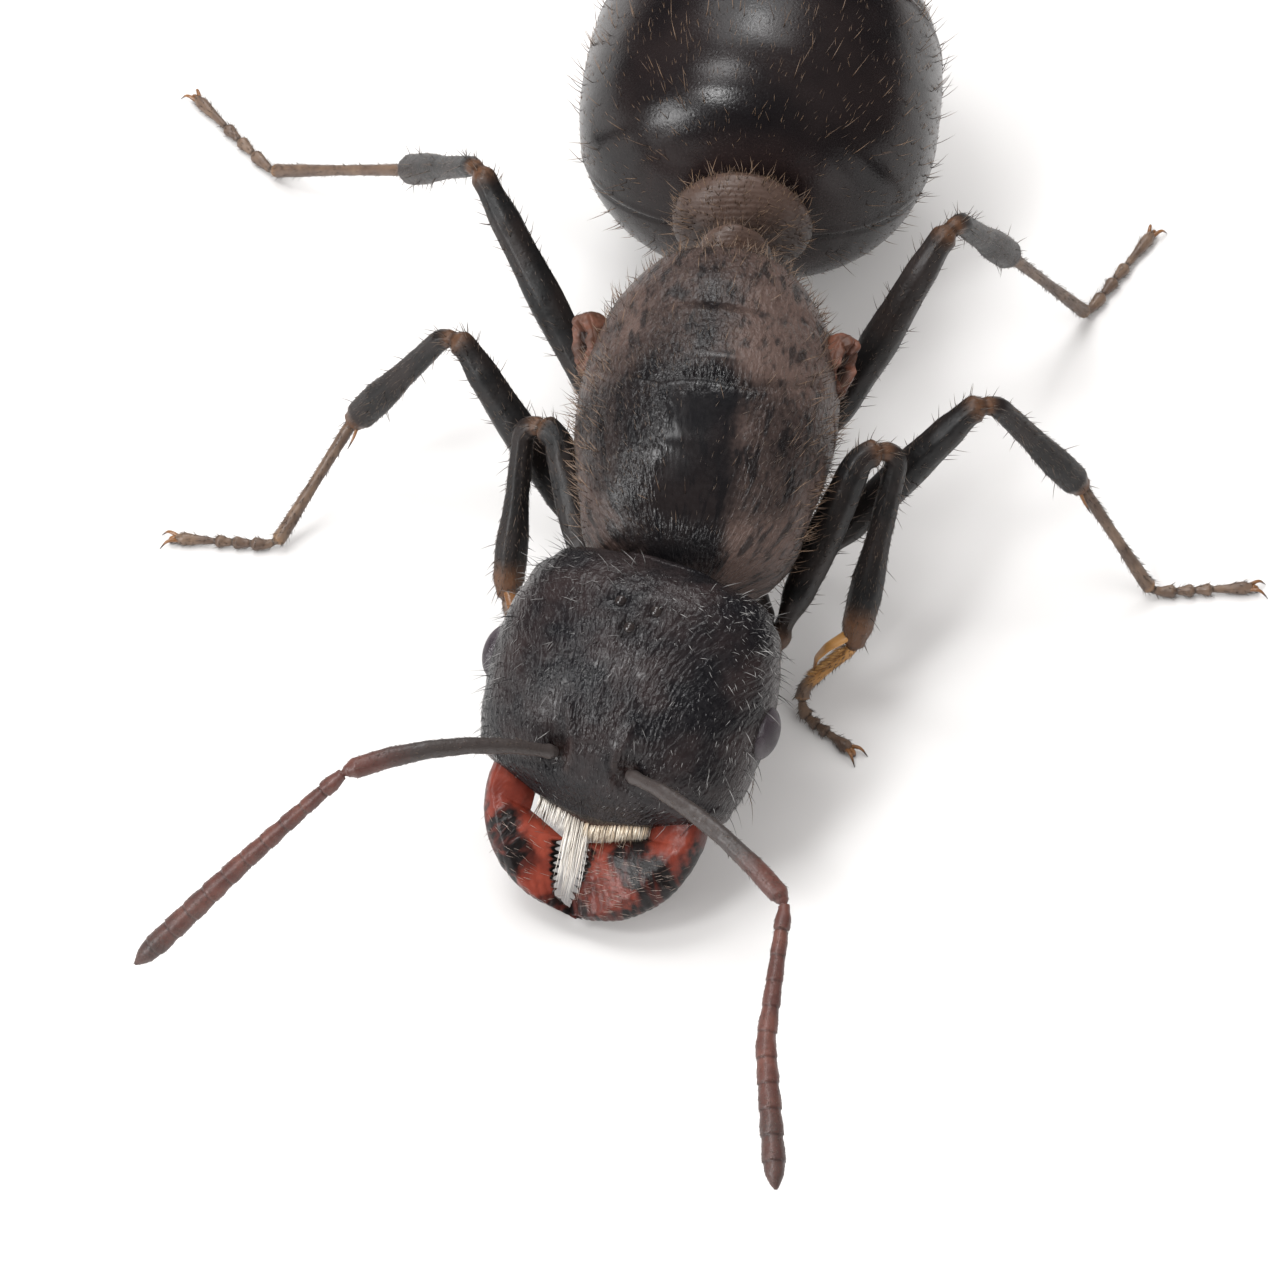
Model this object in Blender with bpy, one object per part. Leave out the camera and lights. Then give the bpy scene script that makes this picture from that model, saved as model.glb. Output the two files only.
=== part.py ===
"""A harvester ant queen that has shed her wings, as a still museum model at life size.

She stands on six feet and faces -Y, with the floor at Z = 0. Her head hangs forward and is
turned a little to her right. Sizes are in millimetres until a mesh is written, in metres.
"""

import math
from collections import namedtuple

import bmesh
import bpy
import numpy as np
from mathutils import Euler, Quaternion, Vector

# ---------------------------------------------------------------- driving dimensions

MM = 0.001                # metres in a millimetre
SEAM = 0.04               # gap between two neighbouring plates or limb segments
BODY_SHIFT = (0.475, -2.20)  # moves the middle of the whole box to the origin

HEAD_PLACE = (-0.50, -1.11, 2.40)      # middle of the head capsule
HEAD_PITCH = 36.0                      # degrees that the face leans forward
HEAD_ROLL = -9.3                       # degrees that it tips towards her right
HEAD_TURN = -12.3                      # degrees that it looks to her right
HEAD_SIDES = 26
HEAD_RINGS = 21
HEAD_CROWN = 2.3                       # roundness of the face, 2 being an ellipse
HEAD_KEEL = 2.2                        # and of the throat

EYE_PLACE = (1.74, -0.02, 0.02)        # on the left side, in the head's own frame
EYE_RADII = (0.22, 0.35, 0.30)
EYE_SEGMENTS = (14, 9)                 # round the dome, and from pole to pole

MANDIBLE_HINGE = (0.08, -1.50)         # centre of the round outer edge
MANDIBLE_REACH = 1.36                  # from that centre to the outer edge
MANDIBLE_START = -8.0                  # degrees at which the outer edge starts
MANDIBLE_SWEEP = 97.0                  # degrees that it runs through
MANDIBLE_LEVEL = -0.10                 # height of the base in the head's own frame
MANDIBLE_DROP = 0.36                   # how far the tip hangs below the base
MANDIBLE_THICK = 0.27                  # half the greatest thickness
MANDIBLE_TAPER = 0.62                  # share of the thickness lost by the tip
MANDIBLE_WEDGE = 0.30                  # how much thinner the inner edge is than the outer
MANDIBLE_SIDES = 10
MANDIBLE_PLAIN_RINGS = 6               # rings of the base, before the teeth
TOOTH_COUNT = 10
TOOTH_DEPTH = 0.09
TOOTH_START = 0.34                     # share of the blade at its inner corner

# share along the blade, x and y of its inner edge: root, notch, inner corner, tip
INNER_EDGES = {
    "left": ((0.0, 0.72, -1.42), (0.14, 0.70, -1.68), (TOOTH_START, 0.02, -1.95),
             (1.0, 0.03, -2.78)),
    "right": ((0.0, 0.80, -1.42), (0.14, 0.80, -1.76), (TOOTH_START, 0.30, -1.97),
              (1.0, 0.03, -2.84)),
}

ANTENNA_SOCKET = (0.48, -1.00, 0.78)   # left socket, in the head's own frame
FEELER_RADIUS = 0.25                   # the least that a slender solid may have
FEELER_FLARE = 1.08                    # how much wider a scape is at its elbow
BEAD_SWELL = 1.12                      # how much wider a flagellum is within each joint
FLAGELLUM_JOINTS = 11
INNER_JOINTS = 5                       # of those, the ones in its inner length
FEELER_TIP = 0.5                       # share of the radius left at the very tip
LEFT_ELBOW = (1.72, -4.20, 2.43)
LEFT_FEELER_TIP = (1.98, -7.54, 1.17)
RIGHT_ELBOW = (-3.70, -3.34, 3.07)
RIGHT_FEELER_TIP = (-6.13, -4.81, 0.82)
SCAPE_BOW = 0.16                       # how far a scape arches above a straight line

BODY_SIDES = 24
LEG_SIDES = 8
FOOT_LEVEL = 0.20                      # height of a foot's middle line; it is cut flat at Z = 0

STUB_PLACE = (1.58, 3.35, 3.70)        # middle of the left wing root
STUB_RADII = (0.28, 0.52, 0.27)
STUB_PITCH = 24.0                      # degrees that its hind end is raised
STUB_TURN = -10.0                      # degrees that its hind end swings out
STUB_SEGMENTS = (10, 7)                # round it, and from pole to pole

SHARP_ANGLE = 50.0        # degrees beyond which an edge between faces stays crisp
BEND_STEPS = 8            # facets of a rounded corner
LARGEST_TRIM = 0.45       # share of a straight length that one rounded corner may take
HEADING_REACH = 0.03      # half the length over which a path's direction is taken
PATH_SAMPLES = 400        # places tried when the nearest one on a path is sought

# ---------------------------------------------------------------- outlines of the body

# y, height of the widest line, half width there, rise above it, drop below it
Station = namedtuple("Station", "y mid width rise drop")

HEAD_LINE = (
    Station(1.60, 0.03, 0.56, 0.22, 0.30),
    Station(1.52, 0.03, 1.04, 0.44, 0.54),
    Station(1.26, 0.03, 1.48, 0.78, 0.84),
    Station(0.82, 0.02, 1.70, 1.05, 1.02),
    Station(0.25, 0.00, 1.80, 1.18, 1.06),
    Station(-0.40, -0.02, 1.79, 1.13, 1.00),
    Station(-1.00, -0.05, 1.68, 0.94, 0.86),
    Station(-1.28, -0.07, 1.50, 0.74, 0.72),
    Station(-1.44, -0.09, 1.04, 0.58, 0.58),
    Station(-1.56, -0.10, 0.74, 0.42, 0.44),
    Station(-1.68, -0.11, 0.44, 0.26, 0.30),
    Station(-1.73, -0.11, 0.24, 0.17, 0.19),
)
MOUTH_LINE = (
    Station(-0.20, -0.92, 0.34, 0.20, 0.18),
    Station(-0.60, -0.86, 0.50, 0.30, 0.26),
    Station(-1.10, -0.74, 0.52, 0.32, 0.24),
    Station(-1.50, -0.58, 0.40, 0.22, 0.16),
)
MOUTH_RINGS = 6
MOUTH_SIDES = 12

TRUNK_LINE = (
    Station(-0.10, 2.78, 0.42, 0.36, 0.36),
    Station(0.30, 2.78, 0.50, 0.42, 0.42),
    Station(0.42, 2.88, 0.96, 0.60, 0.85),
    Station(0.70, 3.02, 1.30, 0.86, 1.28),
    Station(1.15, 3.20, 1.44, 1.12, 1.66),
    Station(1.75, 3.28, 1.57, 1.30, 1.84),
    Station(2.50, 3.32, 1.66, 1.36, 1.92),
    Station(3.30, 3.32, 1.61, 1.34, 1.92),
    Station(3.95, 3.28, 1.42, 1.38, 1.88),
    Station(4.50, 3.18, 1.12, 1.30, 1.72),
    Station(4.95, 3.00, 0.86, 0.92, 1.36),
    Station(5.25, 2.80, 0.60, 0.46, 0.84),
)
TRUNK_CROWN = 2.3         # roundness of the trunk's back, 2 being an ellipse
TRUNK_KEEL = 1.6          # and of its underside, which narrows towards the hips
PROTHORAX_END = 1.20
MESOTHORAX_END = 3.42
METATHORAX_END = 4.35
TRUNK_CUTTER_RINGS = 24

PETIOLE_LINE = (
    Station(4.95, 2.62, 0.30, 0.26, 0.26),
    Station(5.38, 2.64, 0.36, 0.34, 0.32),
    Station(5.58, 2.72, 0.50, 0.72, 0.42),
    Station(5.74, 2.76, 0.55, 0.84, 0.46),
    Station(5.94, 2.74, 0.48, 0.52, 0.42),
    Station(6.06, 2.70, 0.38, 0.32, 0.36),
)
POSTPETIOLE_LINE = (
    Station(6.10, 2.70, 0.42, 0.38, 0.38),
    Station(6.24, 2.72, 0.72, 0.70, 0.56),
    Station(6.48, 2.74, 0.92, 0.94, 0.68),
    Station(6.74, 2.72, 0.84, 0.78, 0.66),
    Station(6.96, 2.66, 0.62, 0.56, 0.56),
    Station(7.20, 2.60, 0.50, 0.44, 0.44),
)
KNOT_RINGS = 9
PETIOLE_SIDES = 14
POSTPETIOLE_SIDES = 16
GASTER_LINE = (
    Station(6.84, 2.56, 0.86, 0.80, 0.80),
    Station(6.96, 2.56, 1.34, 1.26, 1.24),
    Station(7.30, 2.57, 1.84, 1.72, 1.66),
    Station(8.00, 2.58, 2.22, 2.04, 1.98),
    Station(9.00, 2.58, 2.38, 2.14, 2.08),
    Station(10.0, 2.56, 2.26, 2.02, 1.98),
    Station(10.9, 2.50, 1.86, 1.66, 1.70),
    Station(11.5, 2.40, 1.32, 1.20, 1.26),
    Station(11.85, 2.30, 0.78, 0.72, 0.76),
    Station(12.0, 2.24, 0.34, 0.30, 0.34),
)
GASTER_CROWN = 2.05       # roundness above and below
GASTER_CUTS = (6.84, 9.85, 10.85, 11.45, 12.0)
GASTER_RINGS = {"gaster_2": 4, "gaster_3": 3, "gaster_4": 4}
FIRST_SEGMENT_PLACES = (6.86, 6.92, 7.02, 7.20, 7.60, 8.20, 8.90, 9.45, 9.83)
GASTER_CUTTER_PLACES = (6.82, 6.90, 7.02, 7.20, 7.60, 8.20, 9.00)

# ---------------------------------------------------------------- the stance of the legs

# hip in the trunk, trochanter, knee, end of the shin, heel, toe
Leg = namedtuple("Leg", "hip trochanter knee ankle heel toe")
KNEE_FOLD = {"fore": 0.26, "mid": 0.0, "hind": 0.0}   # half the width of a folded knee

LEGS = {
    "fore_left": Leg((0.62, 0.95, 1.95), (1.00, 0.52, 1.24), (2.20, 2.27, 3.40),
                     (2.02, 1.02, 1.08), (1.20, 0.88, FOOT_LEVEL), (2.10, 0.20, FOOT_LEVEL)),
    "fore_right": Leg((-0.62, 0.95, 1.95), (-1.00, 0.60, 1.26), (-2.08, 2.54, 3.00),
                      (-2.38, 1.38, 1.00), (-2.00, 0.56, FOOT_LEVEL),
                      (-1.58, -0.42, FOOT_LEVEL)),
    "mid_left": Leg((0.72, 2.30, 1.75), (1.22, 2.10, 1.16), (3.44, 3.05, 3.74),
                    (4.69, 3.48, 1.69), (5.66, 3.25, FOOT_LEVEL), (6.92, 3.48, FOOT_LEVEL)),
    "mid_right": Leg((-0.72, 2.30, 1.75), (-1.25, 2.00, 1.16), (-3.33, 3.71, 3.42),
                     (-4.69, 3.76, 1.39), (-5.56, 2.72, FOOT_LEVEL),
                     (-6.85, 2.69, FOOT_LEVEL)),
    "hind_left": Leg((0.62, 3.70, 1.75), (1.08, 3.80, 1.18), (2.81, 5.08, 4.73),
                     (3.47, 6.91, 2.19), (4.44, 7.99, FOOT_LEVEL), (5.18, 9.54, FOOT_LEVEL)),
    "hind_right": Leg((-0.62, 3.70, 1.75), (-1.14, 3.78, 1.19), (-3.38, 6.39, 3.58),
                      (-4.63, 8.33, 1.36), (-6.60, 9.31, FOOT_LEVEL),
                      (-7.80, 10.54, FOOT_LEVEL)),
}
BEND_RADIUS = 0.30        # of a leg's middle line at its joints
COXA_RADII = (0.36, 0.36, 0.30)
FEMUR_RADII = (0.25, 0.26, 0.27, 0.26, 0.25)
TIBIA_RADII = (0.25, 0.25, 0.27, 0.28, 0.25)
METATARSUS_RADII = (0.25, 0.25)
FOOT_RADII = (0.25, 0.25, 0.25, 0.14)
COXA_RINGS = 5
LIMB_RINGS = 7
METATARSUS_RINGS = 5
FOOT_RINGS = 6

# ---------------------------------------------------------------- finishes

# colour, roughness
BLACK_SHELL = ((0.022, 0.017, 0.016), 0.38)
BROWN_SHELL = ((0.040, 0.026, 0.022), 0.42)
GLOSSY_SHELL = ((0.018, 0.013, 0.013), 0.22)
RED_HORN = ((0.300, 0.050, 0.022), 0.30)
FEELER_BROWN = ((0.105, 0.030, 0.020), 0.40)
LEG_BLACK = ((0.020, 0.016, 0.017), 0.32)
FOOT_BROWN = ((0.160, 0.080, 0.045), 0.50)
EYE_PURPLE = ((0.060, 0.045, 0.065), 0.25)
STUB_ORANGE = ((0.330, 0.110, 0.040), 0.45)


def finish_for(obj, finish):
    """Give an object a material of its own."""
    colour, roughness = finish
    material = bpy.data.materials.new(obj.name + "_finish")
    material.use_nodes = True
    shader = material.node_tree.nodes["Principled BSDF"]
    shader.inputs["Base Color"].default_value = (*colour, 1.0)
    shader.inputs["Roughness"].default_value = roughness
    shader.inputs["Metallic"].default_value = 0.0
    obj.data.materials.append(material)


# ---------------------------------------------------------------- mesh helpers

def signed_power(value, power):
    """A power that keeps the sign, for superellipses."""
    return math.copysign(abs(value) ** power, value)


def add_object(name, bm, finish, parent):
    """Turn a bmesh in millimetres into a named object that hangs on its parent."""
    bmesh.ops.scale(bm, vec=(MM, MM, MM), verts=bm.verts)
    bmesh.ops.recalc_face_normals(bm, faces=bm.faces)
    mesh = bpy.data.meshes.new(name)
    bm.to_mesh(mesh)
    bm.free()
    mesh.shade_smooth()
    mesh.set_sharp_from_angle(angle=math.radians(SHARP_ANGLE))
    obj = bpy.data.objects.new(name, mesh)
    bpy.context.scene.collection.objects.link(obj)
    obj.parent = parent
    finish_for(obj, finish)
    return obj


def solid_from_rings(name, rings, finish, parent):
    """Join rings of equal count into one closed solid with a flat face at each end."""
    bm = bmesh.new()
    loops = [[bm.verts.new(point) for point in ring] for ring in rings]
    for first, second in zip(loops, loops[1:]):
        for i, corner in enumerate(first):
            j = (i + 1) % len(first)
            bm.faces.new((corner, first[j], second[j], second[i]))
    bm.faces.new(loops[0])
    bm.faces.new(loops[-1])
    return add_object(name, bm, finish, parent)


def subtract(target, cutter):
    """Cut one object's shape away from another."""
    cut = target.modifiers.new("cut_by_" + cutter.name, "BOOLEAN")
    cut.operation = "DIFFERENCE"
    cut.solver = "EXACT"
    cut.object = cutter


def as_cutter(obj):
    """Mark an object as a tool that isn't part of the model."""
    obj.hide_render = True
    obj.display_type = "WIRE"
    return obj


# ---------------------------------------------------------------- plates along the body

def line_at(line, y):
    """A body outline at one place, eased between its stations by a cubic curve."""
    keys = [station.y for station in line]
    table = np.array([station[1:] for station in line])
    if keys[0] > keys[-1]:
        keys = keys[::-1]
        table = table[::-1]
    slopes = np.gradient(table, keys, axis=0)
    i = int(np.clip(np.searchsorted(keys, y) - 1, 0, len(keys) - 2))
    span = keys[i + 1] - keys[i]
    t = (y - keys[i]) / span
    value = ((2 * t**3 - 3 * t**2 + 1) * table[i]
             + (t**3 - 2 * t**2 + t) * span * slopes[i]
             + (3 * t**2 - 2 * t**3) * table[i + 1]
             + (t**3 - t**2) * span * slopes[i + 1])
    return Station(y, *value)


def body_ring(station, sides, crown, keel, grow=0.0):
    """One ring across the body, with its own roundness above and below the widest line."""
    points = []
    for i in range(sides):
        angle = 2.0 * math.pi * i / sides
        power = crown if math.sin(angle) >= 0.0 else keel
        height = station.rise if math.sin(angle) >= 0.0 else station.drop
        points.append(Vector((
            (station.width + grow) * signed_power(math.cos(angle), 2.0 / power),
            station.y,
            station.mid + (height + grow) * signed_power(math.sin(angle), 2.0 / power))))
    return points


def even_cuts(first, last, count):
    """Evenly spread places, ends included."""
    return [first + (last - first) * i / (count - 1) for i in range(count)]


def round_cuts(first, last, count):
    """Places that crowd towards both ends, for a shape with round ends."""
    middle = (first + last) / 2.0
    half = (last - first) / 2.0
    return [middle - half * math.cos(math.pi * i / (count - 1)) for i in range(count)]


def body_solid(name, line, places, finish, parent, sides=BODY_SIDES, crown=2.0, keel=2.0,
               grow=0.0):
    """A closed solid that follows a body outline through the given places."""
    rings = [body_ring(line_at(line, y), sides, crown, keel, grow) for y in places]
    return solid_from_rings(name, rings, finish, parent)


# ---------------------------------------------------------------- limbs along a path

def eased_path(corners, radius):
    """Points of a path whose inner corners are rounded by arcs of one radius."""
    corners = [Vector(corner) for corner in corners]
    points = [corners[0]]
    for before, corner, after in zip(corners, corners[1:], corners[2:]):
        into = (corner - before).normalized()
        out = (after - corner).normalized()
        turn = into.angle(out)
        trim = min(radius * math.tan(turn / 2.0), LARGEST_TRIM * (corner - before).length,
                   LARGEST_TRIM * (after - corner).length)
        bend = trim / math.tan(turn / 2.0)
        inward = (out - into).normalized()
        centre = corner + inward * (bend / math.cos(turn / 2.0))
        arm = corner - into * trim - centre
        axis = into.cross(out).normalized()
        for k in range(BEND_STEPS + 1):
            spoke = arm.copy()
            spoke.rotate(Quaternion(axis, turn * k / BEND_STEPS))
            points.append(centre + spoke)
    points.append(corners[-1])
    return points


class Path:
    """A smooth middle line, read by the length travelled along it."""

    def __init__(self, points):
        self.points = np.array([tuple(point) for point in points])
        steps = np.linalg.norm(np.diff(self.points, axis=0), axis=1)
        self.travel = np.concatenate(([0.0], np.cumsum(steps)))
        self.length = float(self.travel[-1])

    def at(self, s):
        """The point after a length s."""
        return Vector([float(np.interp(s, self.travel, self.points[:, k])) for k in range(3)])

    def heading(self, s):
        """The direction of travel there."""
        ahead = self.at(min(s + HEADING_REACH, self.length))
        behind = self.at(max(s - HEADING_REACH, 0.0))
        return (ahead - behind).normalized()

    def nearest(self, point):
        """The length at which the line passes closest to a point."""
        samples = np.linspace(0.0, self.length, PATH_SAMPLES)
        gaps = [(self.at(s) - Vector(point)).length for s in samples]
        return float(samples[int(np.argmin(gaps))])


def limb_solid(name, path, start, end, radii, finish, parent, rings=5, sides=LEG_SIDES,
               floor=None):
    """One segment of a limb, from one length of the path to another.

    The radii are spread evenly along the segment. A floor flattens what would pass below it.
    """
    loops = []
    for share in round_cuts(0.0, 1.0, rings):
        s = start + (end - start) * share
        radius = float(np.interp(share, np.linspace(0.0, 1.0, len(radii)), radii))
        heading = path.heading(s)
        side = heading.cross(Vector((0.0, 0.0, 1.0))).normalized()
        above = side.cross(heading)
        loop = []
        for k in range(sides):
            angle = 2.0 * math.pi * (k + 0.5) / sides
            point = path.at(s) + radius * (math.cos(angle) * side + math.sin(angle) * above)
            if floor is not None:
                point.z = max(point.z, floor)
            loop.append(point)
        loops.append(loop)
    return solid_from_rings(name, loops, finish, parent)


# ---------------------------------------------------------------- the head and its parts

def head_frame(stance):
    """The empty that carries the head, in its hanging, turned attitude."""
    frame = bpy.data.objects.new("head_frame", None)
    bpy.context.scene.collection.objects.link(frame)
    frame.parent = stance
    frame.location = Vector(HEAD_PLACE) * MM
    frame.rotation_mode = "XYZ"
    frame.rotation_euler = head_attitude()
    return frame


def head_attitude():
    """Pitch first, then roll, then turn, each about the head's own axes."""
    pitch = Euler((math.radians(HEAD_PITCH), 0.0, 0.0)).to_matrix()
    roll = Euler((0.0, math.radians(HEAD_ROLL), 0.0)).to_matrix()
    turn = Euler((0.0, 0.0, math.radians(HEAD_TURN))).to_matrix()
    return (pitch @ roll @ turn).to_euler("XYZ")


def make_head(frame, name="head", grow=0.0):
    """The capsule, with the clypeus as its front edge."""
    places = round_cuts(HEAD_LINE[0].y + grow, HEAD_LINE[-1].y - grow, HEAD_RINGS)
    return body_solid(name, HEAD_LINE, places, BLACK_SHELL, frame, HEAD_SIDES, HEAD_CROWN,
                      HEAD_KEEL, grow)


def make_eye(frame, side_name, side, head_cutter):
    """A low oval dome on the side of the head."""
    bm = bmesh.new()
    around, along = EYE_SEGMENTS
    bmesh.ops.create_uvsphere(bm, u_segments=around, v_segments=along, radius=1.0)
    bmesh.ops.scale(bm, vec=EYE_RADII, verts=bm.verts)
    centre = Vector(EYE_PLACE)
    bmesh.ops.translate(bm, vec=(side * centre.x, centre.y, centre.z), verts=bm.verts)
    eye = add_object("eye_" + side_name, bm, EYE_PURPLE, frame)
    subtract(eye, head_cutter)


def mandible_edges(u, side_name):
    """The outer and the inner edge of a mandible, as on the left, from base, 0, to tip, 1."""
    swing = math.radians(MANDIBLE_START + MANDIBLE_SWEEP * u)
    hinge_x, hinge_y = MANDIBLE_HINGE
    outer = Vector((hinge_x + MANDIBLE_REACH * math.cos(swing),
                    hinge_y - MANDIBLE_REACH * math.sin(swing)))
    shares, xs, ys = zip(*INNER_EDGES[side_name])
    inner = Vector((float(np.interp(u, shares, xs)), float(np.interp(u, shares, ys))))
    return outer, inner


def mandible_places():
    """Where the rings lie: evenly over the base, then at each tooth and each notch."""
    places = [TOOTH_START * i / MANDIBLE_PLAIN_RINGS for i in range(MANDIBLE_PLAIN_RINGS)]
    return places + even_cuts(TOOTH_START, 1.0, 2 * TOOTH_COUNT + 1)


def make_mandible(frame, side_name, side, head_cutter):
    """A broad curved blade whose inner edge carries a row of teeth."""
    rings = []
    for n, u in enumerate(mandible_places()):
        outer, inner = mandible_edges(u, side_name)
        notch = n >= MANDIBLE_PLAIN_RINGS and (n - MANDIBLE_PLAIN_RINGS) % 2 == 1
        if notch:
            inner = inner + (outer - inner).normalized() * TOOTH_DEPTH
        middle = (outer + inner) / 2.0
        arm = (inner - outer) / 2.0
        thick = MANDIBLE_THICK * (1.0 - MANDIBLE_TAPER * u * u)
        level = MANDIBLE_LEVEL - MANDIBLE_DROP * u * u
        ring = []
        for k in range(MANDIBLE_SIDES):
            angle = 2.0 * math.pi * k / MANDIBLE_SIDES
            across = middle + arm * math.cos(angle)
            height = thick * math.sin(angle) * (1.0 - MANDIBLE_WEDGE * math.cos(angle))
            ring.append(Vector((side * across.x, across.y, level + height)))
        rings.append(ring)
    mandible = solid_from_rings("mandible_" + side_name, rings, RED_HORN, frame)
    subtract(mandible, head_cutter)


def make_mouthparts(frame, head_cutter):
    """The folded jaws and lower lip, a low pad under the front of the head."""
    places = even_cuts(MOUTH_LINE[0].y, MOUTH_LINE[-1].y, MOUTH_RINGS)
    pad = body_solid("mouthparts", MOUTH_LINE, places, BROWN_SHELL, frame, MOUTH_SIDES)
    subtract(pad, head_cutter)


def make_antenna(stance, frame_matrix, side_name, side, elbow, tip, head_cutter):
    """A scape up to the elbow, then the beaded flagellum in two lengths."""
    socket = Vector(ANTENNA_SOCKET)
    socket.x *= side
    socket = frame_matrix @ socket
    elbow = Vector(elbow)
    arch = (socket + elbow) / 2.0 + Vector((0.0, 0.0, SCAPE_BOW))
    path = Path(eased_path((socket, arch, elbow, Vector(tip)), BEND_RADIUS))
    bend = path.nearest(elbow)
    radius = FEELER_RADIUS
    scape = limb_solid("scape_" + side_name, path, 0.0, bend - SEAM / 2.0,
                       (radius, radius, radius, radius * FEELER_FLARE), FEELER_BROWN, stance,
                       LIMB_RINGS + 1)
    subtract(scape, head_cutter)
    beads = [radius, radius * BEAD_SWELL] * FLAGELLUM_JOINTS
    inner = 2 * INNER_JOINTS
    outer = 2 * (FLAGELLUM_JOINTS - INNER_JOINTS)
    middle = bend + (path.length - bend) * INNER_JOINTS / FLAGELLUM_JOINTS
    limb_solid("flagellum_inner_" + side_name, path, bend + SEAM / 2.0, middle - SEAM / 2.0,
               beads[:inner] + [radius], FEELER_BROWN, stance, inner)
    limb_solid("flagellum_outer_" + side_name, path, middle + SEAM / 2.0, path.length,
               beads[:outer] + [radius * FEELER_TIP], FEELER_BROWN, stance, outer + 1)


# ---------------------------------------------------------------- trunk, waist and gaster

def make_trunk(stance, head_cutter):
    """The thorax and propodeum, parted by thin cuts across the body."""
    spans = (("prothorax", TRUNK_LINE[0].y, PROTHORAX_END, 8, BROWN_SHELL),
             ("mesothorax", PROTHORAX_END, MESOTHORAX_END, 8, BLACK_SHELL),
             ("metathorax", MESOTHORAX_END, METATHORAX_END, 5, BLACK_SHELL),
             ("propodeum", METATHORAX_END, TRUNK_LINE[-1].y, 6, BROWN_SHELL))
    for name, first, last, count, finish in spans:
        places = even_cuts(first + SEAM / 2.0, last - SEAM / 2.0, count)
        plate = body_solid(name, TRUNK_LINE, places, finish, stance, BODY_SIDES, TRUNK_CROWN,
                           TRUNK_KEEL)
        if name == "prothorax":
            subtract(plate, head_cutter)


def make_wing_stub(stance, side_name, side, trunk_cutter):
    """The torn-off root of a wing, on the upper side of the mesothorax."""
    bm = bmesh.new()
    around, along = STUB_SEGMENTS
    bmesh.ops.create_uvsphere(bm, u_segments=around, v_segments=along, radius=1.0)
    bmesh.ops.scale(bm, vec=STUB_RADII, verts=bm.verts)
    turn = Euler((math.radians(STUB_PITCH), 0.0, math.radians(STUB_TURN * side))).to_matrix()
    bmesh.ops.rotate(bm, cent=(0, 0, 0), matrix=turn, verts=bm.verts)
    x, y, z = STUB_PLACE
    bmesh.ops.translate(bm, vec=(side * x, y, z), verts=bm.verts)
    stub = add_object("wing_stub_" + side_name, bm, STUB_ORANGE, stance)
    subtract(stub, trunk_cutter)


def make_waist(stance, trunk_cutter, gaster_cutter):
    """The two knots between trunk and gaster."""
    petiole = body_solid("petiole", PETIOLE_LINE,
                         even_cuts(PETIOLE_LINE[0].y, PETIOLE_LINE[-1].y, KNOT_RINGS),
                         BROWN_SHELL, stance, PETIOLE_SIDES)
    subtract(petiole, trunk_cutter)
    knot = body_solid("postpetiole", POSTPETIOLE_LINE,
                      even_cuts(POSTPETIOLE_LINE[0].y, POSTPETIOLE_LINE[-1].y, KNOT_RINGS),
                      BROWN_SHELL, stance, POSTPETIOLE_SIDES)
    subtract(knot, gaster_cutter)


def make_gaster(stance):
    """The hind body: one large segment and three smaller ones that close it."""
    body_solid("gaster_1", GASTER_LINE, FIRST_SEGMENT_PLACES, GLOSSY_SHELL, stance, BODY_SIDES,
               GASTER_CROWN, GASTER_CROWN)
    for (name, count), first, last in zip(GASTER_RINGS.items(), GASTER_CUTS[1:],
                                          GASTER_CUTS[2:]):
        places = even_cuts(first + SEAM / 2.0, last - SEAM / 2.0, count)
        body_solid(name, GASTER_LINE, places, GLOSSY_SHELL, stance, BODY_SIDES, GASTER_CROWN,
                   GASTER_CROWN)


# ---------------------------------------------------------------- legs

def make_leg(stance, name, leg, trunk_cutter):
    """Coxa, femur, tibia and a foot in two lengths, along one rounded middle line."""
    fold = KNEE_FOLD[name.split("_")[0]]
    across = (Vector(leg.ankle) - Vector(leg.trochanter)).normalized() * fold
    knee = Vector(leg.knee)
    bend = (knee - across, knee + across) if fold else (knee,)
    path = Path(eased_path((leg.hip, leg.trochanter, *bend, leg.ankle, leg.heel, leg.toe),
                           BEND_RADIUS))
    cuts = [0.0] + [path.nearest(point) for point in leg[1:-1]] + [path.length]
    half = SEAM / 2.0
    coxa = limb_solid("coxa_" + name, path, cuts[0], cuts[1] - half, COXA_RADII,
                      LEG_BLACK, stance, COXA_RINGS)
    subtract(coxa, trunk_cutter)
    limb_solid("femur_" + name, path, cuts[1] + half, cuts[2] - half, FEMUR_RADII,
               LEG_BLACK, stance, LIMB_RINGS)
    limb_solid("tibia_" + name, path, cuts[2] + half, cuts[3] - half, TIBIA_RADII,
               LEG_BLACK, stance, LIMB_RINGS)
    limb_solid("metatarsus_" + name, path, cuts[3] + half, cuts[4] - half, METATARSUS_RADII,
               FOOT_BROWN, stance, METATARSUS_RINGS, floor=0.0)
    limb_solid("foot_" + name, path, cuts[4] + half, cuts[5], FOOT_RADII, FOOT_BROWN, stance,
               FOOT_RINGS, floor=0.0)


# ---------------------------------------------------------------- the whole ant

def clear_scene():
    """Take away whatever the scene holds."""
    for obj in list(bpy.data.objects):
        bpy.data.objects.remove(obj, do_unlink=True)


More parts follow.
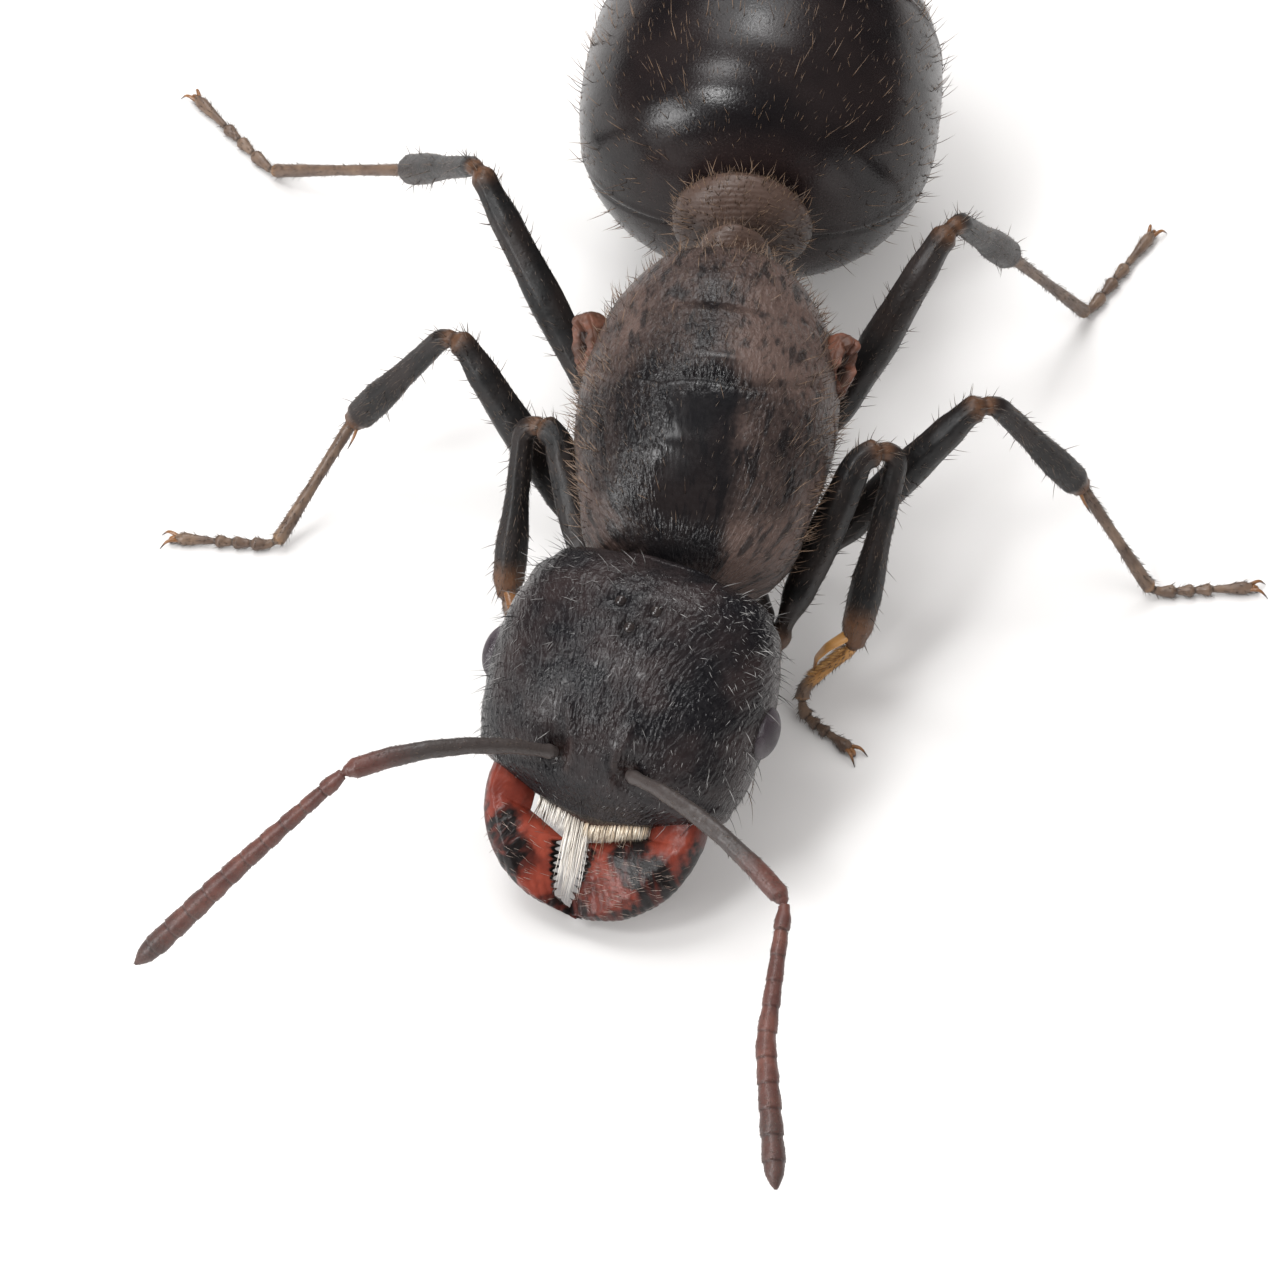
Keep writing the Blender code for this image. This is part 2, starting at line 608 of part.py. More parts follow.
def build_ant():
    """Make every part."""
    clear_scene()
    stance = bpy.data.objects.new("stance", None)
    bpy.context.scene.collection.objects.link(stance)
    stance.location = Vector((*BODY_SHIFT, 0.0)) * MM
    frame = head_frame(stance)
    frame_matrix = head_attitude().to_matrix().to_4x4()
    frame_matrix.translation = Vector(HEAD_PLACE)

    head_cutter = as_cutter(make_head(frame, "head_cutter", SEAM))
    trunk_cutter = as_cutter(body_solid(
        "trunk_cutter", TRUNK_LINE,
        even_cuts(TRUNK_LINE[0].y, TRUNK_LINE[-1].y + SEAM, TRUNK_CUTTER_RINGS),
        BLACK_SHELL, stance, BODY_SIDES, TRUNK_CROWN, TRUNK_KEEL, SEAM))
    gaster_cutter = as_cutter(body_solid(
        "gaster_cutter", GASTER_LINE, GASTER_CUTTER_PLACES, BLACK_SHELL, stance, BODY_SIDES,
        GASTER_CROWN, GASTER_CROWN, SEAM))

    make_head(frame)
    make_mouthparts(frame, head_cutter)
    for side_name, side, elbow, tip in (("left", 1, LEFT_ELBOW, LEFT_FEELER_TIP),
                                        ("right", -1, RIGHT_ELBOW, RIGHT_FEELER_TIP)):
        make_eye(frame, side_name, side, head_cutter)
        make_mandible(frame, side_name, side, head_cutter)
        make_antenna(stance, frame_matrix, side_name, side, elbow, tip, head_cutter)
        make_wing_stub(stance, side_name, side, trunk_cutter)
    make_trunk(stance, head_cutter)
    make_waist(stance, trunk_cutter, gaster_cutter)
    make_gaster(stance)
    for name, leg in LEGS.items():
        make_leg(stance, name, leg, trunk_cutter)


build_ant()
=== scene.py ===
"""The looks of a harvester ant queen that has shed her wings, at life size.

She stands on six feet, facing -Y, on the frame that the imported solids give. Sizes here are in
millimetres in her own frame, with its origin on the floor under her neck, until Bench.add
writes a piece in metres. Her left is +X.
"""

import logging
import math
from dataclasses import dataclass, field
from enum import Enum
from typing import Callable

import bpy
import numpy as np
from mathutils import Euler, Matrix, Quaternion, Vector


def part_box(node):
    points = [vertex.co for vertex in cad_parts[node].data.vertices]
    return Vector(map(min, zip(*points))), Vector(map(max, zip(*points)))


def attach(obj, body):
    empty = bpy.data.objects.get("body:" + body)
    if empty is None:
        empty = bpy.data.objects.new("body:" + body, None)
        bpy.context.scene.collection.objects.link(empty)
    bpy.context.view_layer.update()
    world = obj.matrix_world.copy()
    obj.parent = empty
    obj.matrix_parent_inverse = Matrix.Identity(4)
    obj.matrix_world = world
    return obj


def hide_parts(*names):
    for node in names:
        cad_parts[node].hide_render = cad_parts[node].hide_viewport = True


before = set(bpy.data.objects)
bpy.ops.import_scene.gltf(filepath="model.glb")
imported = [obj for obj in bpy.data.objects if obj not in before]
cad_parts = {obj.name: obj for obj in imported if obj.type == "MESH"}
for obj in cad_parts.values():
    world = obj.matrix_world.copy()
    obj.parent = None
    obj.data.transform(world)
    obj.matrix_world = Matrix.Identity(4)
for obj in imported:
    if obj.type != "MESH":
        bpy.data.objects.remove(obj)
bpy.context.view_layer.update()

log = logging.getLogger("ant")

MM = 0.001                # metres in a millimetre
TURN = 2.0 * math.pi
BODY = "root"             # the one body of a still model
BAKE_MAP = "OFBake"
TUFT_PATCH = 0.003        # width of one hair's patch on the map of its skin

Span = tuple[float, float]
Point = tuple[float, float, float]
Corner = Point | Vector
Colour = Point
Route = tuple[Span, ...]
Cell = tuple[float, float, float, float]    # left, low, right and high edge on a map
Array = np.ndarray
Density = Callable[[Array, Array, Array], Array]    # from the three own terms of a skin
WHOLE: Cell = (0.0, 0.0, 1.0, 1.0)
HALVES: tuple[Cell, Cell] = ((0.0, 0.0, 0.48, 1.0), (0.52, 0.0, 1.0, 1.0))
SIDES = (("left", 1.0), ("right", -1.0))


# ---------------- small sums on arrays

def ramp(value: Array, low: float, high: float) -> Array:
    """A smooth step from 0 at low to 1 at high."""
    t = clamp((value - low) / (high - low))
    return t * t * (3.0 - 2.0 * t)


def bell(value: Array, width: float) -> Array:
    """A round bump, 1 at zero and nearly gone at twice the width."""
    return np.exp(-(value / width) ** 2)


def clamp(value: Array) -> Array:
    """The same numbers, held between 0 and 1."""
    return np.clip(value, 0.0, 1.0)


def between(value: Array, low: float, high: float, ease: float) -> Array:
    """1 inside a span and 0 outside it, with soft ends."""
    return ramp(value, low - ease, low + ease) * (1.0 - ramp(value, high - ease, high + ease))


def unit(vectors: Array) -> Array:
    """The same directions with a length of 1."""
    return vectors / np.maximum(np.linalg.norm(vectors, axis=-1, keepdims=True), 1e-12)


def gap_to(route: Route, x: Array, y: Array) -> Array:
    """The distance from each point of a plane to a line with corners.

    Args:
        route: the corners of the line.
        x: first coordinates of the points.
        y: second coordinates of the points.

    Returns:
        One distance for each point.
    """
    nearest = np.full(np.shape(x), np.inf)
    for (ax, ay), (bx, by) in zip(route, route[1:]):
        dx, dy = bx - ax, by - ay
        t = clamp(((x - ax) * dx + (y - ay) * dy) / (dx * dx + dy * dy))
        nearest = np.minimum(nearest, np.hypot(x - ax - t * dx, y - ay - t * dy))
    return nearest


def eased(value: Array, keys: Route) -> Array:
    """A curve through keys that is level at each of them.

    Args:
        value: where the curve is read.
        keys: pairs of place and height, in rising order of place.

    Returns:
        The heights.
    """
    places, heights = np.array(keys).T
    i = np.clip(np.searchsorted(places, value, side="right") - 1, 0, len(places) - 2)
    t = clamp((value - places[i]) / (places[i + 1] - places[i]))
    return heights[i] + (heights[i + 1] - heights[i]) * t * t * (3.0 - 2.0 * t)


def stacked(*parts: Array) -> Array:
    """Coordinates set side by side, each stretched to the size of the largest."""
    return np.stack(np.broadcast_arrays(*parts), axis=-1)


def spin(x: float = 0.0, y: float = 0.0, z: float = 0.0) -> Matrix:
    """A turn by some degrees, about the axes that are named."""
    return Euler([math.radians(angle) for angle in (x, y, z)]).to_matrix()


class Grain:
    """Smooth repeatable noise in space, between -1 and 1, for relief held by the mesh."""

    PRIMES = (73856093, 19349663, 83492791)

    def __init__(self, seed: int) -> None:
        """Fill the table that the noise is read from."""
        self.table = np.random.default_rng(seed).uniform(-1.0, 1.0, 8192)

    def at(self, points: Array, size: float) -> Array:
        """The noise at some points, with lumps of the given size.

        Args:
            points: an array whose last axis is x, y, z.
            size: distance from lump to lump.

        Returns:
            One number for each point.
        """
        scaled = points / size
        base = np.floor(scaled).astype(np.int64)
        t = scaled - base
        t = t * t * (3.0 - 2.0 * t)
        total = np.zeros(points.shape[:-1])
        for corner in np.ndindex(2, 2, 2):
            cell = (base + corner) * self.PRIMES
            index = (cell[..., 0] ^ cell[..., 1] ^ cell[..., 2]) & 8191
            share = np.prod(np.where(corner, t, 1.0 - t), axis=-1)
            total += share * self.table[index]
        return total

    def layered(self, points: Array, size: float) -> Array:
        """Three layers of the noise, each finer and fainter than the last."""
        return (self.at(points, size) + 0.5 * self.at(points, size * 0.47)
                + 0.25 * self.at(points, size * 0.21)) / 1.75


# ---------------- shader nodes

class Value:
    """A number that varies over a surface, as the output socket of a shader node."""

    def __init__(self, graph: "Graph", socket: bpy.types.NodeSocket) -> None:
        """Wrap one output socket."""
        self.graph = graph
        self.socket = socket

    def _sum(self, operation: str, first: object, second: object) -> "Value":
        """Add one Math node."""
        return self.graph.node("Math", {"operation": operation}, {0: first, 1: second})

    def __add__(self, other: object) -> "Value":
        """Sum."""
        return self._sum("ADD", self, other)

    __radd__ = __add__

    def __mul__(self, other: object) -> "Value":
        """Product."""
        return self._sum("MULTIPLY", self, other)

    __rmul__ = __mul__

    def __sub__(self, other: object) -> "Value":
        """Difference."""
        return self._sum("SUBTRACT", self, other)

    def __rsub__(self, other: object) -> "Value":
        """Difference the other way round."""
        return self._sum("SUBTRACT", other, self)

    def step(self, low: float, high: float) -> "Value":
        """A smooth step from 0 at low to 1 at high."""
        return self.graph.node("MapRange", {"interpolation_type": "SMOOTHSTEP"},
                               {"Value": self, "From Min": low, "From Max": high})


class Graph:
    """The node tree of one material, built up around a Principled shader."""

    def __init__(self, name: str) -> None:
        """Start a material that holds only its shader and its output.

        Args:
            name: the material's name.
        """
        self.material = bpy.data.materials.new(name)
        self.material.use_nodes = True
        self.tree = self.material.node_tree
        self.shader = self.tree.nodes["Principled BSDF"]

    def feed(self, socket: bpy.types.NodeSocket, value: object) -> None:
        """Link a socket, or set its own value.

        Args:
            socket: an input of a node.
            value: a number, a colour or the output of another node.
        """
        if isinstance(value, Value):
            self.tree.links.new(value.socket, socket)
        elif isinstance(value, tuple) and len(value) == 3 and socket.type == "RGBA":
            socket.default_value = (*value, 1.0)
        else:
            socket.default_value = value

    def node(self, kind: str, settings: dict[str, object], sockets: dict[object, object],
             output: object = 0) -> Value:
        """Add a node.

        Args:
            kind: its type, without the usual prefix.
            settings: its own settings.
            sockets: values or links for its inputs.
            output: which output to read.

        Returns:
            The chosen output.
        """
        made = self.tree.nodes.new("ShaderNode" + kind)
        for key, value in settings.items():
            setattr(made, key, value)
        for key, value in sockets.items():
            self.feed(made.inputs[key], value)
        return Value(self, made.outputs[output])

    def place(self) -> Value:
        """Where a point lies, in millimetres."""
        spot = self.node("TexCoord", {}, {}, "Object")
        return self.node("VectorMath", {"operation": "SCALE"}, {0: spot, "Scale": 1.0 / MM})

    def noise(self, place: Value, scale: float, detail: float) -> Value:
        """Noise around 0.5, with so many lumps to the millimetre."""
        return self.node("TexNoise", {}, {"Vector": place, "Scale": scale, "Detail": detail})

    def mark(self, name: str) -> Value:
        """A number that the mesh carries at each of its points."""
        return self.node("Attribute", {"attribute_name": name}, {}, "Fac")

    def blend(self, share: object, first: object, second: object) -> Value:
        """A colour between two others."""
        return self.node("Mix", {"data_type": "RGBA", "clamp_factor": True},
                         {0: share, 6: first, 7: second}, 2)

    def relief(self, height: Value, depth: float) -> None:
        """Let a height tilt the shader's normal; depth is in millimetres."""
        bump = self.node("Bump", {}, {"Distance": depth * MM, "Height": height})
        self.feed(self.shader.inputs["Normal"], bump)

    def paint(self, **sockets: object) -> None:
        """Feed the shader's sockets, named with underscores for spaces."""
        for key, value in sockets.items():
            self.feed(self.shader.inputs[key.replace("_", " ")], value)


@dataclass(frozen=True)
class ShellFinish:
    """Hard polished shell, drifting between two tones, with a third where it is marked.

    The mesh carries "mark", for places of the third tone, the hollow mark, painted shade that
    darkens grooves, pits and joints, "calm", where it is smooth, and the distances "across" and
    "along" that fine dashes and streaks follow.
    """

    name: str
    deep: Colour
    warm: Colour
    marked: Colour
    roughness: float = 0.35
    coat: float = 0.25
    drift: float = 1.3            # slow patches to the millimetre
    grain: float = 22.0           # fine bumps to the millimetre
    depth: float = 0.006
    haze: float = 0.0             # how far fine grey bloom lifts the darkest tone
    matt: float = 0.0             # how much rougher the third tone is
    ior: float = 1.45
    dashes: float = 0.0           # fine dashes to the millimetre
    streaks: float = 0.0          # how far long streaks change the tone

    def material(self) -> bpy.types.Material:
        """Build the nodes.

        Returns:
            The material.
        """
        graph = Graph(self.name)
        place = graph.place()
        patches = graph.noise(place, self.drift, 3.0)
        fine = graph.noise(place, self.grain, 3.0)
        pores = graph.node("TexVoronoi", {"feature": "F1"},
                           {"Vector": place, "Scale": self.grain * 0.45}, "Distance")
        mark = graph.mark("mark")
        hollow_shade = graph.mark("hollow_shade")
        tone = graph.blend(patches.step(0.36, 0.66), self.deep, self.warm)
        tone = graph.blend((mark * (0.55 + 0.9 * fine)).step(0.1, 0.85), tone, self.marked)
        bloom = self.haze * fine.step(0.42, 0.62) * (1.0 - mark)
        tone = graph.blend(bloom, tone, (0.11, 0.105, 0.108))
        height = fine + 0.6 * pores.step(0.0, 0.35)
        if self.dashes:
            height = height + self._run(graph, 0.34, self.dashes).step(0.35, 0.70)
        if self.streaks:
            streak = self._run(graph, 0.30, 8.0)
            tone = graph.blend(self.streaks * streak.step(0.50, 0.64), tone, self.deep)
        # painted shade: the tone is pulled towards near black where the hollow mark is set, as
        # shade in grooves and pits
        tone = graph.blend(hollow_shade * 0.75, tone, (0.004, 0.003, 0.003))
        calm = graph.mark("calm")
        graph.paint(Base_Color=tone, IOR=self.ior, Coat_Roughness=0.12,
                    Roughness=(self.roughness + 0.24 * (fine - 0.5) * (1.0 - calm)
                               + 0.10 * (patches - 0.5) + self.matt * mark - 0.02 * calm),
                    Coat_Weight=self.coat * patches.step(0.25, 0.6))
        graph.relief(height * (1.0 - calm), self.depth)
        return graph.material

    @staticmethod
    def _run(graph: Graph, squash: float, scale: float) -> Value:
        """Noise drawn out along the lie of the shell."""
        lie = {"X": graph.mark("across"), "Y": squash * graph.mark("along")}
        return graph.noise(graph.node("CombineXYZ", {}, lie), scale, 3.0)


@dataclass(frozen=True)
class HairFinish:
    """Stiff clear hair, darker at its root, no two of quite the same tone.

    The mesh carries "tip", 0 at the root and 1 at the end, and "shade", one number to a hair.
    """

    name: str
    root: Colour
    pale: Colour
    dark: Colour
    roughness: float = 0.38

    def material(self) -> bpy.types.Material:
        """Build the nodes.

        Returns:
            The material.
        """
        graph = Graph(self.name)
        tip = graph.mark("tip")
        shade = graph.mark("shade")
        body = graph.blend(shade.step(0.25, 0.9), self.pale, self.dark)
        tone = graph.blend(tip.step(0.0, 0.45), self.root, body)
        graph.paint(Base_Color=tone, IOR=1.55, Roughness=self.roughness + 0.2 * (shade - 0.5))
        return graph.material


@dataclass(frozen=True)
class EyeFinish:
    """A faceted eye: dark seams between lenses with a dull violet bloom."""

    name: str = "eye_facets"
    lens: Colour = (0.034, 0.026, 0.032)
    glow: Colour = (0.060, 0.048, 0.056)
    seam: Colour = (0.010, 0.008, 0.010)

    def material(self) -> bpy.types.Material:
        """Build the nodes.

        Returns:
            The material.
        """
        graph = Graph(self.name)
        patches = graph.noise(graph.place(), 2.6, 2.0)
        body = graph.blend(patches.step(0.35, 0.7), self.lens, self.glow)
        tone = graph.blend(graph.mark("mark"), body, self.seam)
        graph.paint(Base_Color=tone, IOR=1.5, Roughness=0.26 + 0.2 * (patches - 0.5),
                    Coat_Weight=0.35 * patches.step(0.2, 0.7), Coat_Roughness=0.08)
        return graph.material


@dataclass(frozen=True)
class FloorFinish:
    """Plain pale paper for the stage."""

    name: str = "stage_paper"
    tone: Colour = (0.60, 0.595, 0.59)

    def material(self) -> bpy.types.Material:
        """Build the nodes.

        Returns:
            The material.
        """
        graph = Graph(self.name)
        graph.paint(Base_Color=self.tone, Roughness=0.9, Specular_IOR_Level=0.1)
        return graph.material


class Finish(Enum):
    """The finishes that the pieces are dressed in."""

    HEAD = ShellFinish("head_shell_black", (0.0065, 0.0062, 0.0072), (0.019, 0.0135, 0.0135),
                       (0.060, 0.026, 0.018), 0.21, 0.03, 1.3, 15.0, 0.010, 0.03,
                       ior=1.33, dashes=20.0)
    TRUNK = ShellFinish("trunk_shell_brown_black", (0.0050, 0.0048, 0.0055),
                        (0.012, 0.0095, 0.0095), (0.074, 0.048, 0.040), 0.21, 0.05, 0.9, 16.0,
                        0.010, 0.02, 0.26, ior=1.37, dashes=20.0, streaks=0.75)
    WAIST = ShellFinish("waist_brown", (0.018, 0.014, 0.013), (0.036, 0.024, 0.020),
                        (0.060, 0.036, 0.027), 0.46, 0.05, 1.4, 24.0, 0.006, 0.04)
    GASTER = ShellFinish("gaster_polished_black", (0.0060, 0.0050, 0.0055),
                         (0.012, 0.0088, 0.0088), (0.024, 0.014, 0.013), 0.25, 0.02, 0.8, 30.0,
                         0.002, 0.0, ior=1.37)
    LEG = ShellFinish("leg_black_brown", (0.0062, 0.0060, 0.0062), (0.014, 0.010, 0.009),
                      (0.085, 0.040, 0.020), 0.46, 0.05, 1.6, 26.0, 0.004, 0.01, ior=1.38)
    FOOT = ShellFinish("foot_brown", (0.085, 0.055, 0.040), (0.140, 0.092, 0.062),
                       (0.400, 0.200, 0.060), 0.42, 0.10, 3.0, 30.0, 0.004)
    FEELER = ShellFinish("feeler_red_brown", (0.070, 0.028, 0.023), (0.105, 0.040, 0.030),
                         (0.038, 0.031, 0.029), 0.42, 0.05, 2.6, 34.0, 0.004, 0.04)
    JAW = ShellFinish("jaw_red_horn", (0.125, 0.021, 0.013), (0.230, 0.042, 0.024),
                      (0.0062, 0.0046, 0.0046), 0.34, 0.03, 2.2, 16.0, 0.004, ior=1.34,
                      dashes=14.0, streaks=0.35)
    MOUTH = ShellFinish("mouth_brown", (0.060, 0.034, 0.024), (0.100, 0.058, 0.038),
                        (0.140, 0.085, 0.055), 0.50, 0.05, 3.0, 26.0, 0.006)
    STUB = ShellFinish("wing_root_orange", (0.060, 0.024, 0.014), (0.130, 0.048, 0.028),
                       (0.026, 0.014, 0.011), 0.50, 0.05, 4.0, 22.0, 0.008)
    CLAW = ShellFinish("claw_amber", (0.130, 0.060, 0.026), (0.200, 0.095, 0.040),
                       (0.030, 0.015, 0.010), 0.25, 0.30, 4.0, 30.0, 0.002)
    SPUR = ShellFinish("spur_gold", (0.330, 0.160, 0.045), (0.460, 0.240, 0.080),
                       (0.200, 0.090, 0.030), 0.35, 0.20, 4.0, 30.0, 0.002)
    LENS = ShellFinish("small_eye_amber", (0.012, 0.010, 0.010), (0.024, 0.019, 0.018),
                       (0.006, 0.005, 0.005), 0.16, 0.30, 6.0, 10.0, 0.001)
    EYE = EyeFinish()
    CREAM_HAIR = HairFinish("cream_hair", (0.45, 0.34, 0.24), (0.86, 0.78, 0.66),
                            (0.58, 0.46, 0.32))
    # the pale tone is set light so that the short head hairs also show as the head's small
    # glints: hair colour and painted highlight together
    GREY_HAIR = HairFinish("grey_hair", (0.009, 0.008, 0.008), (0.280, 0.275, 0.270),
                           (0.014, 0.012, 0.012))
    GOLD_HAIR = HairFinish("gold_hair", (0.040, 0.025, 0.018), (0.165, 0.105, 0.066),
                           (0.060, 0.036, 0.024))
    DARK_HAIR = HairFinish("dark_hair", (0.025, 0.018, 0.014), (0.110, 0.080, 0.060),
                           (0.040, 0.027, 0.021))
    COMB_HAIR = HairFinish("comb_hair", (0.300, 0.140, 0.040), (0.600, 0.340, 0.110),
                           (0.360, 0.180, 0.060))
    WHITE_HAIR = HairFinish("white_hair", (0.70, 0.64, 0.56), (0.90, 0.88, 0.84),
                            (0.80, 0.75, 0.68))
    JAW_HAIR = HairFinish("jaw_hair", (0.070, 0.030, 0.024), (0.360, 0.290, 0.250),
                          (0.120, 0.070, 0.055), 0.30)
    FLOOR = FloorFinish()


class Wardrobe:
    """Builds each finish once and hands it out."""

    def __init__(self) -> None:
        """Start with nothing built."""
        self.built: dict[Finish, bpy.types.Material] = {}

    def of(self, finish: Finish) -> bpy.types.Material:
        """The material of a finish.

        Args:
            finish: one of them.

        Returns:
            The material, built once.
        """
        if finish not in self.built:
            self.built[finish] = finish.value.material()
        return self.built[finish]


# ---------------- meshes as arrays

@dataclass
class Shape:
    """The faces of one mesh, in millimetres, with what it carries for its finish."""

    points: Array                 # one row for each vertex
    corners: Array                # vertex numbers, face after face
    counts: Array                 # corners of each face
    chart: Array                  # place of each corner on the map of the skin
    marks: dict[str, Array] = field(default_factory=dict)

    @staticmethod
    def joined(shapes: list["Shape"]) -> "Shape":
        """One shape that holds all of them.

        Args:
            shapes: shapes with the same marks.

        Returns:
            The whole.
        """
        starts = np.cumsum([0] + [len(shape.points) for shape in shapes[:-1]])
        return Shape(
            np.concatenate([shape.points for shape in shapes]),
            np.concatenate([shape.corners + start for shape, start in zip(shapes, starts)]),
            np.concatenate([shape.counts for shape in shapes]),
            np.concatenate([shape.chart for shape in shapes]),
            {name: np.concatenate([shape.marks[name] for shape in shapes])
             for name in shapes[0].marks})


@dataclass
class Roots:
    """Places on a skin where hairs grow."""

    point: Array
    normal: Array
    along: Array                  # unit direction down the rows of the skin
    around: Array                 # unit direction round it
    own: Array                    # place in the skin's own terms
    chart: Array


class Skin:
    """A closed grid of points, with rows along a body and columns round it."""

    def __init__(self, points: Array, own: Array | None = None, cell: Cell = WHOLE) -> None:
        """Hold the grid.

        Args:
            points: rows by columns by three.
            own: the skin's own terms for each point, if they aren't its coordinates.
            cell: the part of the map that the skin is laid out on.
        """
        self.points = points
        self.own = points.copy() if own is None else own
        self.cell = cell
        # the hollow mark holds painted shade for grooves, pits and joints
        self.marks = {name: np.zeros(points.shape[:2])
                      for name in ("mark", "hollow_shade", "calm", "across", "along")}
        self.outward = 1.0
        self.normals = self._find_normals()
        middle = points.mean(axis=1, keepdims=True)
        if ((points - middle) * self.normals).sum() < 0.0:
            self.outward = -1.0
            self.normals = -self.normals

    def _find_normals(self) -> Array:
        """Unit normals from the grid's own neighbours.

        Returns:
            One normal for each point.
        """
        along = np.gradient(self.points, axis=0)
        around = np.roll(self.points, -1, axis=1) - np.roll(self.points, 1, axis=1)
        return unit(np.cross(around, along)) * self.outward

    def raise_by(self, height: Array) -> None:
        """Move each point out along its normal."""
        self.points = self.points + self.normals * height[..., None]
        self.normals = self._find_normals()

    def placed(self, matrix: Matrix) -> None:
        """Carry the skin over into another frame."""
        self.points = self.points @ np.array(matrix.to_3x3()).T + np.array(matrix.translation)
        self.normals = self._find_normals()

    def travel(self) -> Array:
        """How far down the skin each row lies, in millimetres."""
        steps = np.linalg.norm(np.diff(self.points, axis=0), axis=-1).mean(axis=1)
        return np.concatenate(([0.0], np.cumsum(steps)))

    def _on_map(self, across: Array, down: Array) -> Array:
        """Places on the map for shares of the way round and down."""
        left, low, right, high = self.cell
        return np.stack((left + (right - left) * across, low + (high - low) * down), axis=-1)

    def shape(self) -> Shape:
        """The skin as faces, with a fan that closes each end.

        Returns:
            The faces, laid out on the map.
        """
        rows, columns = self.points.shape[:2]
        i, j = np.meshgrid(np.arange(rows - 1), np.arange(columns), indexing="ij")
        k = (j + 1) % columns
        quads = np.stack((i * columns + j, i * columns + k,
                          (i + 1) * columns + k, (i + 1) * columns + j), axis=-1)
        down = self.travel() / self.travel()[-1]
        across = np.stack((j, j + 1, j + 1, j), axis=-1) / columns
        chart = self._on_map(across, down[np.stack((i, i, i + 1, i + 1), axis=-1)])
        if self.outward < 0.0:
            quads, chart = quads[..., ::-1], chart[..., ::-1, :]
        corners, charts = [quads.ravel()], [chart.reshape(-1, 2)]
        column = np.arange(columns)
        after = (column + 1) % columns
        for end, row, flip in ((rows * columns, 0, 1.0), (rows * columns + 1, rows - 1, -1.0)):
            fan = np.stack((np.full(columns, end), row * columns + after,
                            row * columns + column), axis=-1)
            at = np.full(columns, down[row])
            spread = np.stack((self._on_map((column + 0.5) / columns, at),
                               self._on_map((column + 1.0) / columns, at),
                               self._on_map(column / columns, at)), axis=1)
            if flip * self.outward < 0.0:
                fan, spread = fan[:, ::-1], spread[:, ::-1]
            corners.append(fan.ravel())
            charts.append(spread.reshape(-1, 2))
        points = np.concatenate((self.points.reshape(-1, 3),
                                 self.points[:1].mean(axis=1), self.points[-1:].mean(axis=1)))
        marks = {name: np.concatenate((mark.ravel(), mark[:1, 0], mark[-1:, 0]))
                 for name, mark in self.marks.items()}
        counts = np.concatenate((np.full(quads.size // 4, 4), np.full(2 * columns, 3)))
        return Shape(points, np.concatenate(corners), counts, np.concatenate(charts), marks)

    def scatter(self, draw: np.random.Generator, count: int,
                weight: Density | None = None) -> Roots:
        """Pick places spread evenly over the skin.

        Args:
            draw: the source of chance.
            count: how many.
            weight: how much denser than elsewhere, from the skin's own terms.

        Returns:
            The roots of so many hairs.
        """
        grid = np.concatenate((self.points, self.points[:, :1]), axis=1)
        down = grid[1:, :-1] - grid[:-1, :-1]
        over = grid[:-1, 1:] - grid[:-1, :-1]
        area = np.linalg.norm(np.cross(down, over), axis=-1)
        if weight is not None:
            area = area * np.maximum(weight(*np.moveaxis(self.own[:-1], -1, 0)), 0.0)
        share = area.ravel() / area.sum()
        pick = draw.choice(share.size, count, p=share)
        i, j = np.divmod(pick, area.shape[1])
        s, t = draw.random((2, count))
        k = (j + 1) % area.shape[1]

        def mix(table: Array) -> Array:
            """Read a table between four neighbours."""
            near, far = (table[row, j] * (1 - t)[:, None] + table[row, k] * t[:, None]
                         for row in (i, i + 1))
            return near * (1 - s)[:, None] + far * s[:, None]

        travel = self.travel() / self.travel()[-1]
        at = travel[i] * (1 - s) + travel[i + 1] * s
        return Roots(mix(self.points), unit(mix(self.normals)), unit(down[i, j]),
                     unit(over[i, j]), self.own[i, j],
                     self._on_map((j + t) / area.shape[1], at))


@dataclass(frozen=True)
class Hair:
    """How the hairs of one growth are made."""

    length: Span                  # least and greatest
    thick: float                  # radius at the root
    rise: Span                    # least and greatest angle to the skin, in degrees
    droop: float                  # how many degrees it bends down on its way
    joints: int = 2               # lengths that it is made of
    stray: float = 0.25           # how far directions differ
    free: bool = False            # whether it keeps to its direction even off the skin


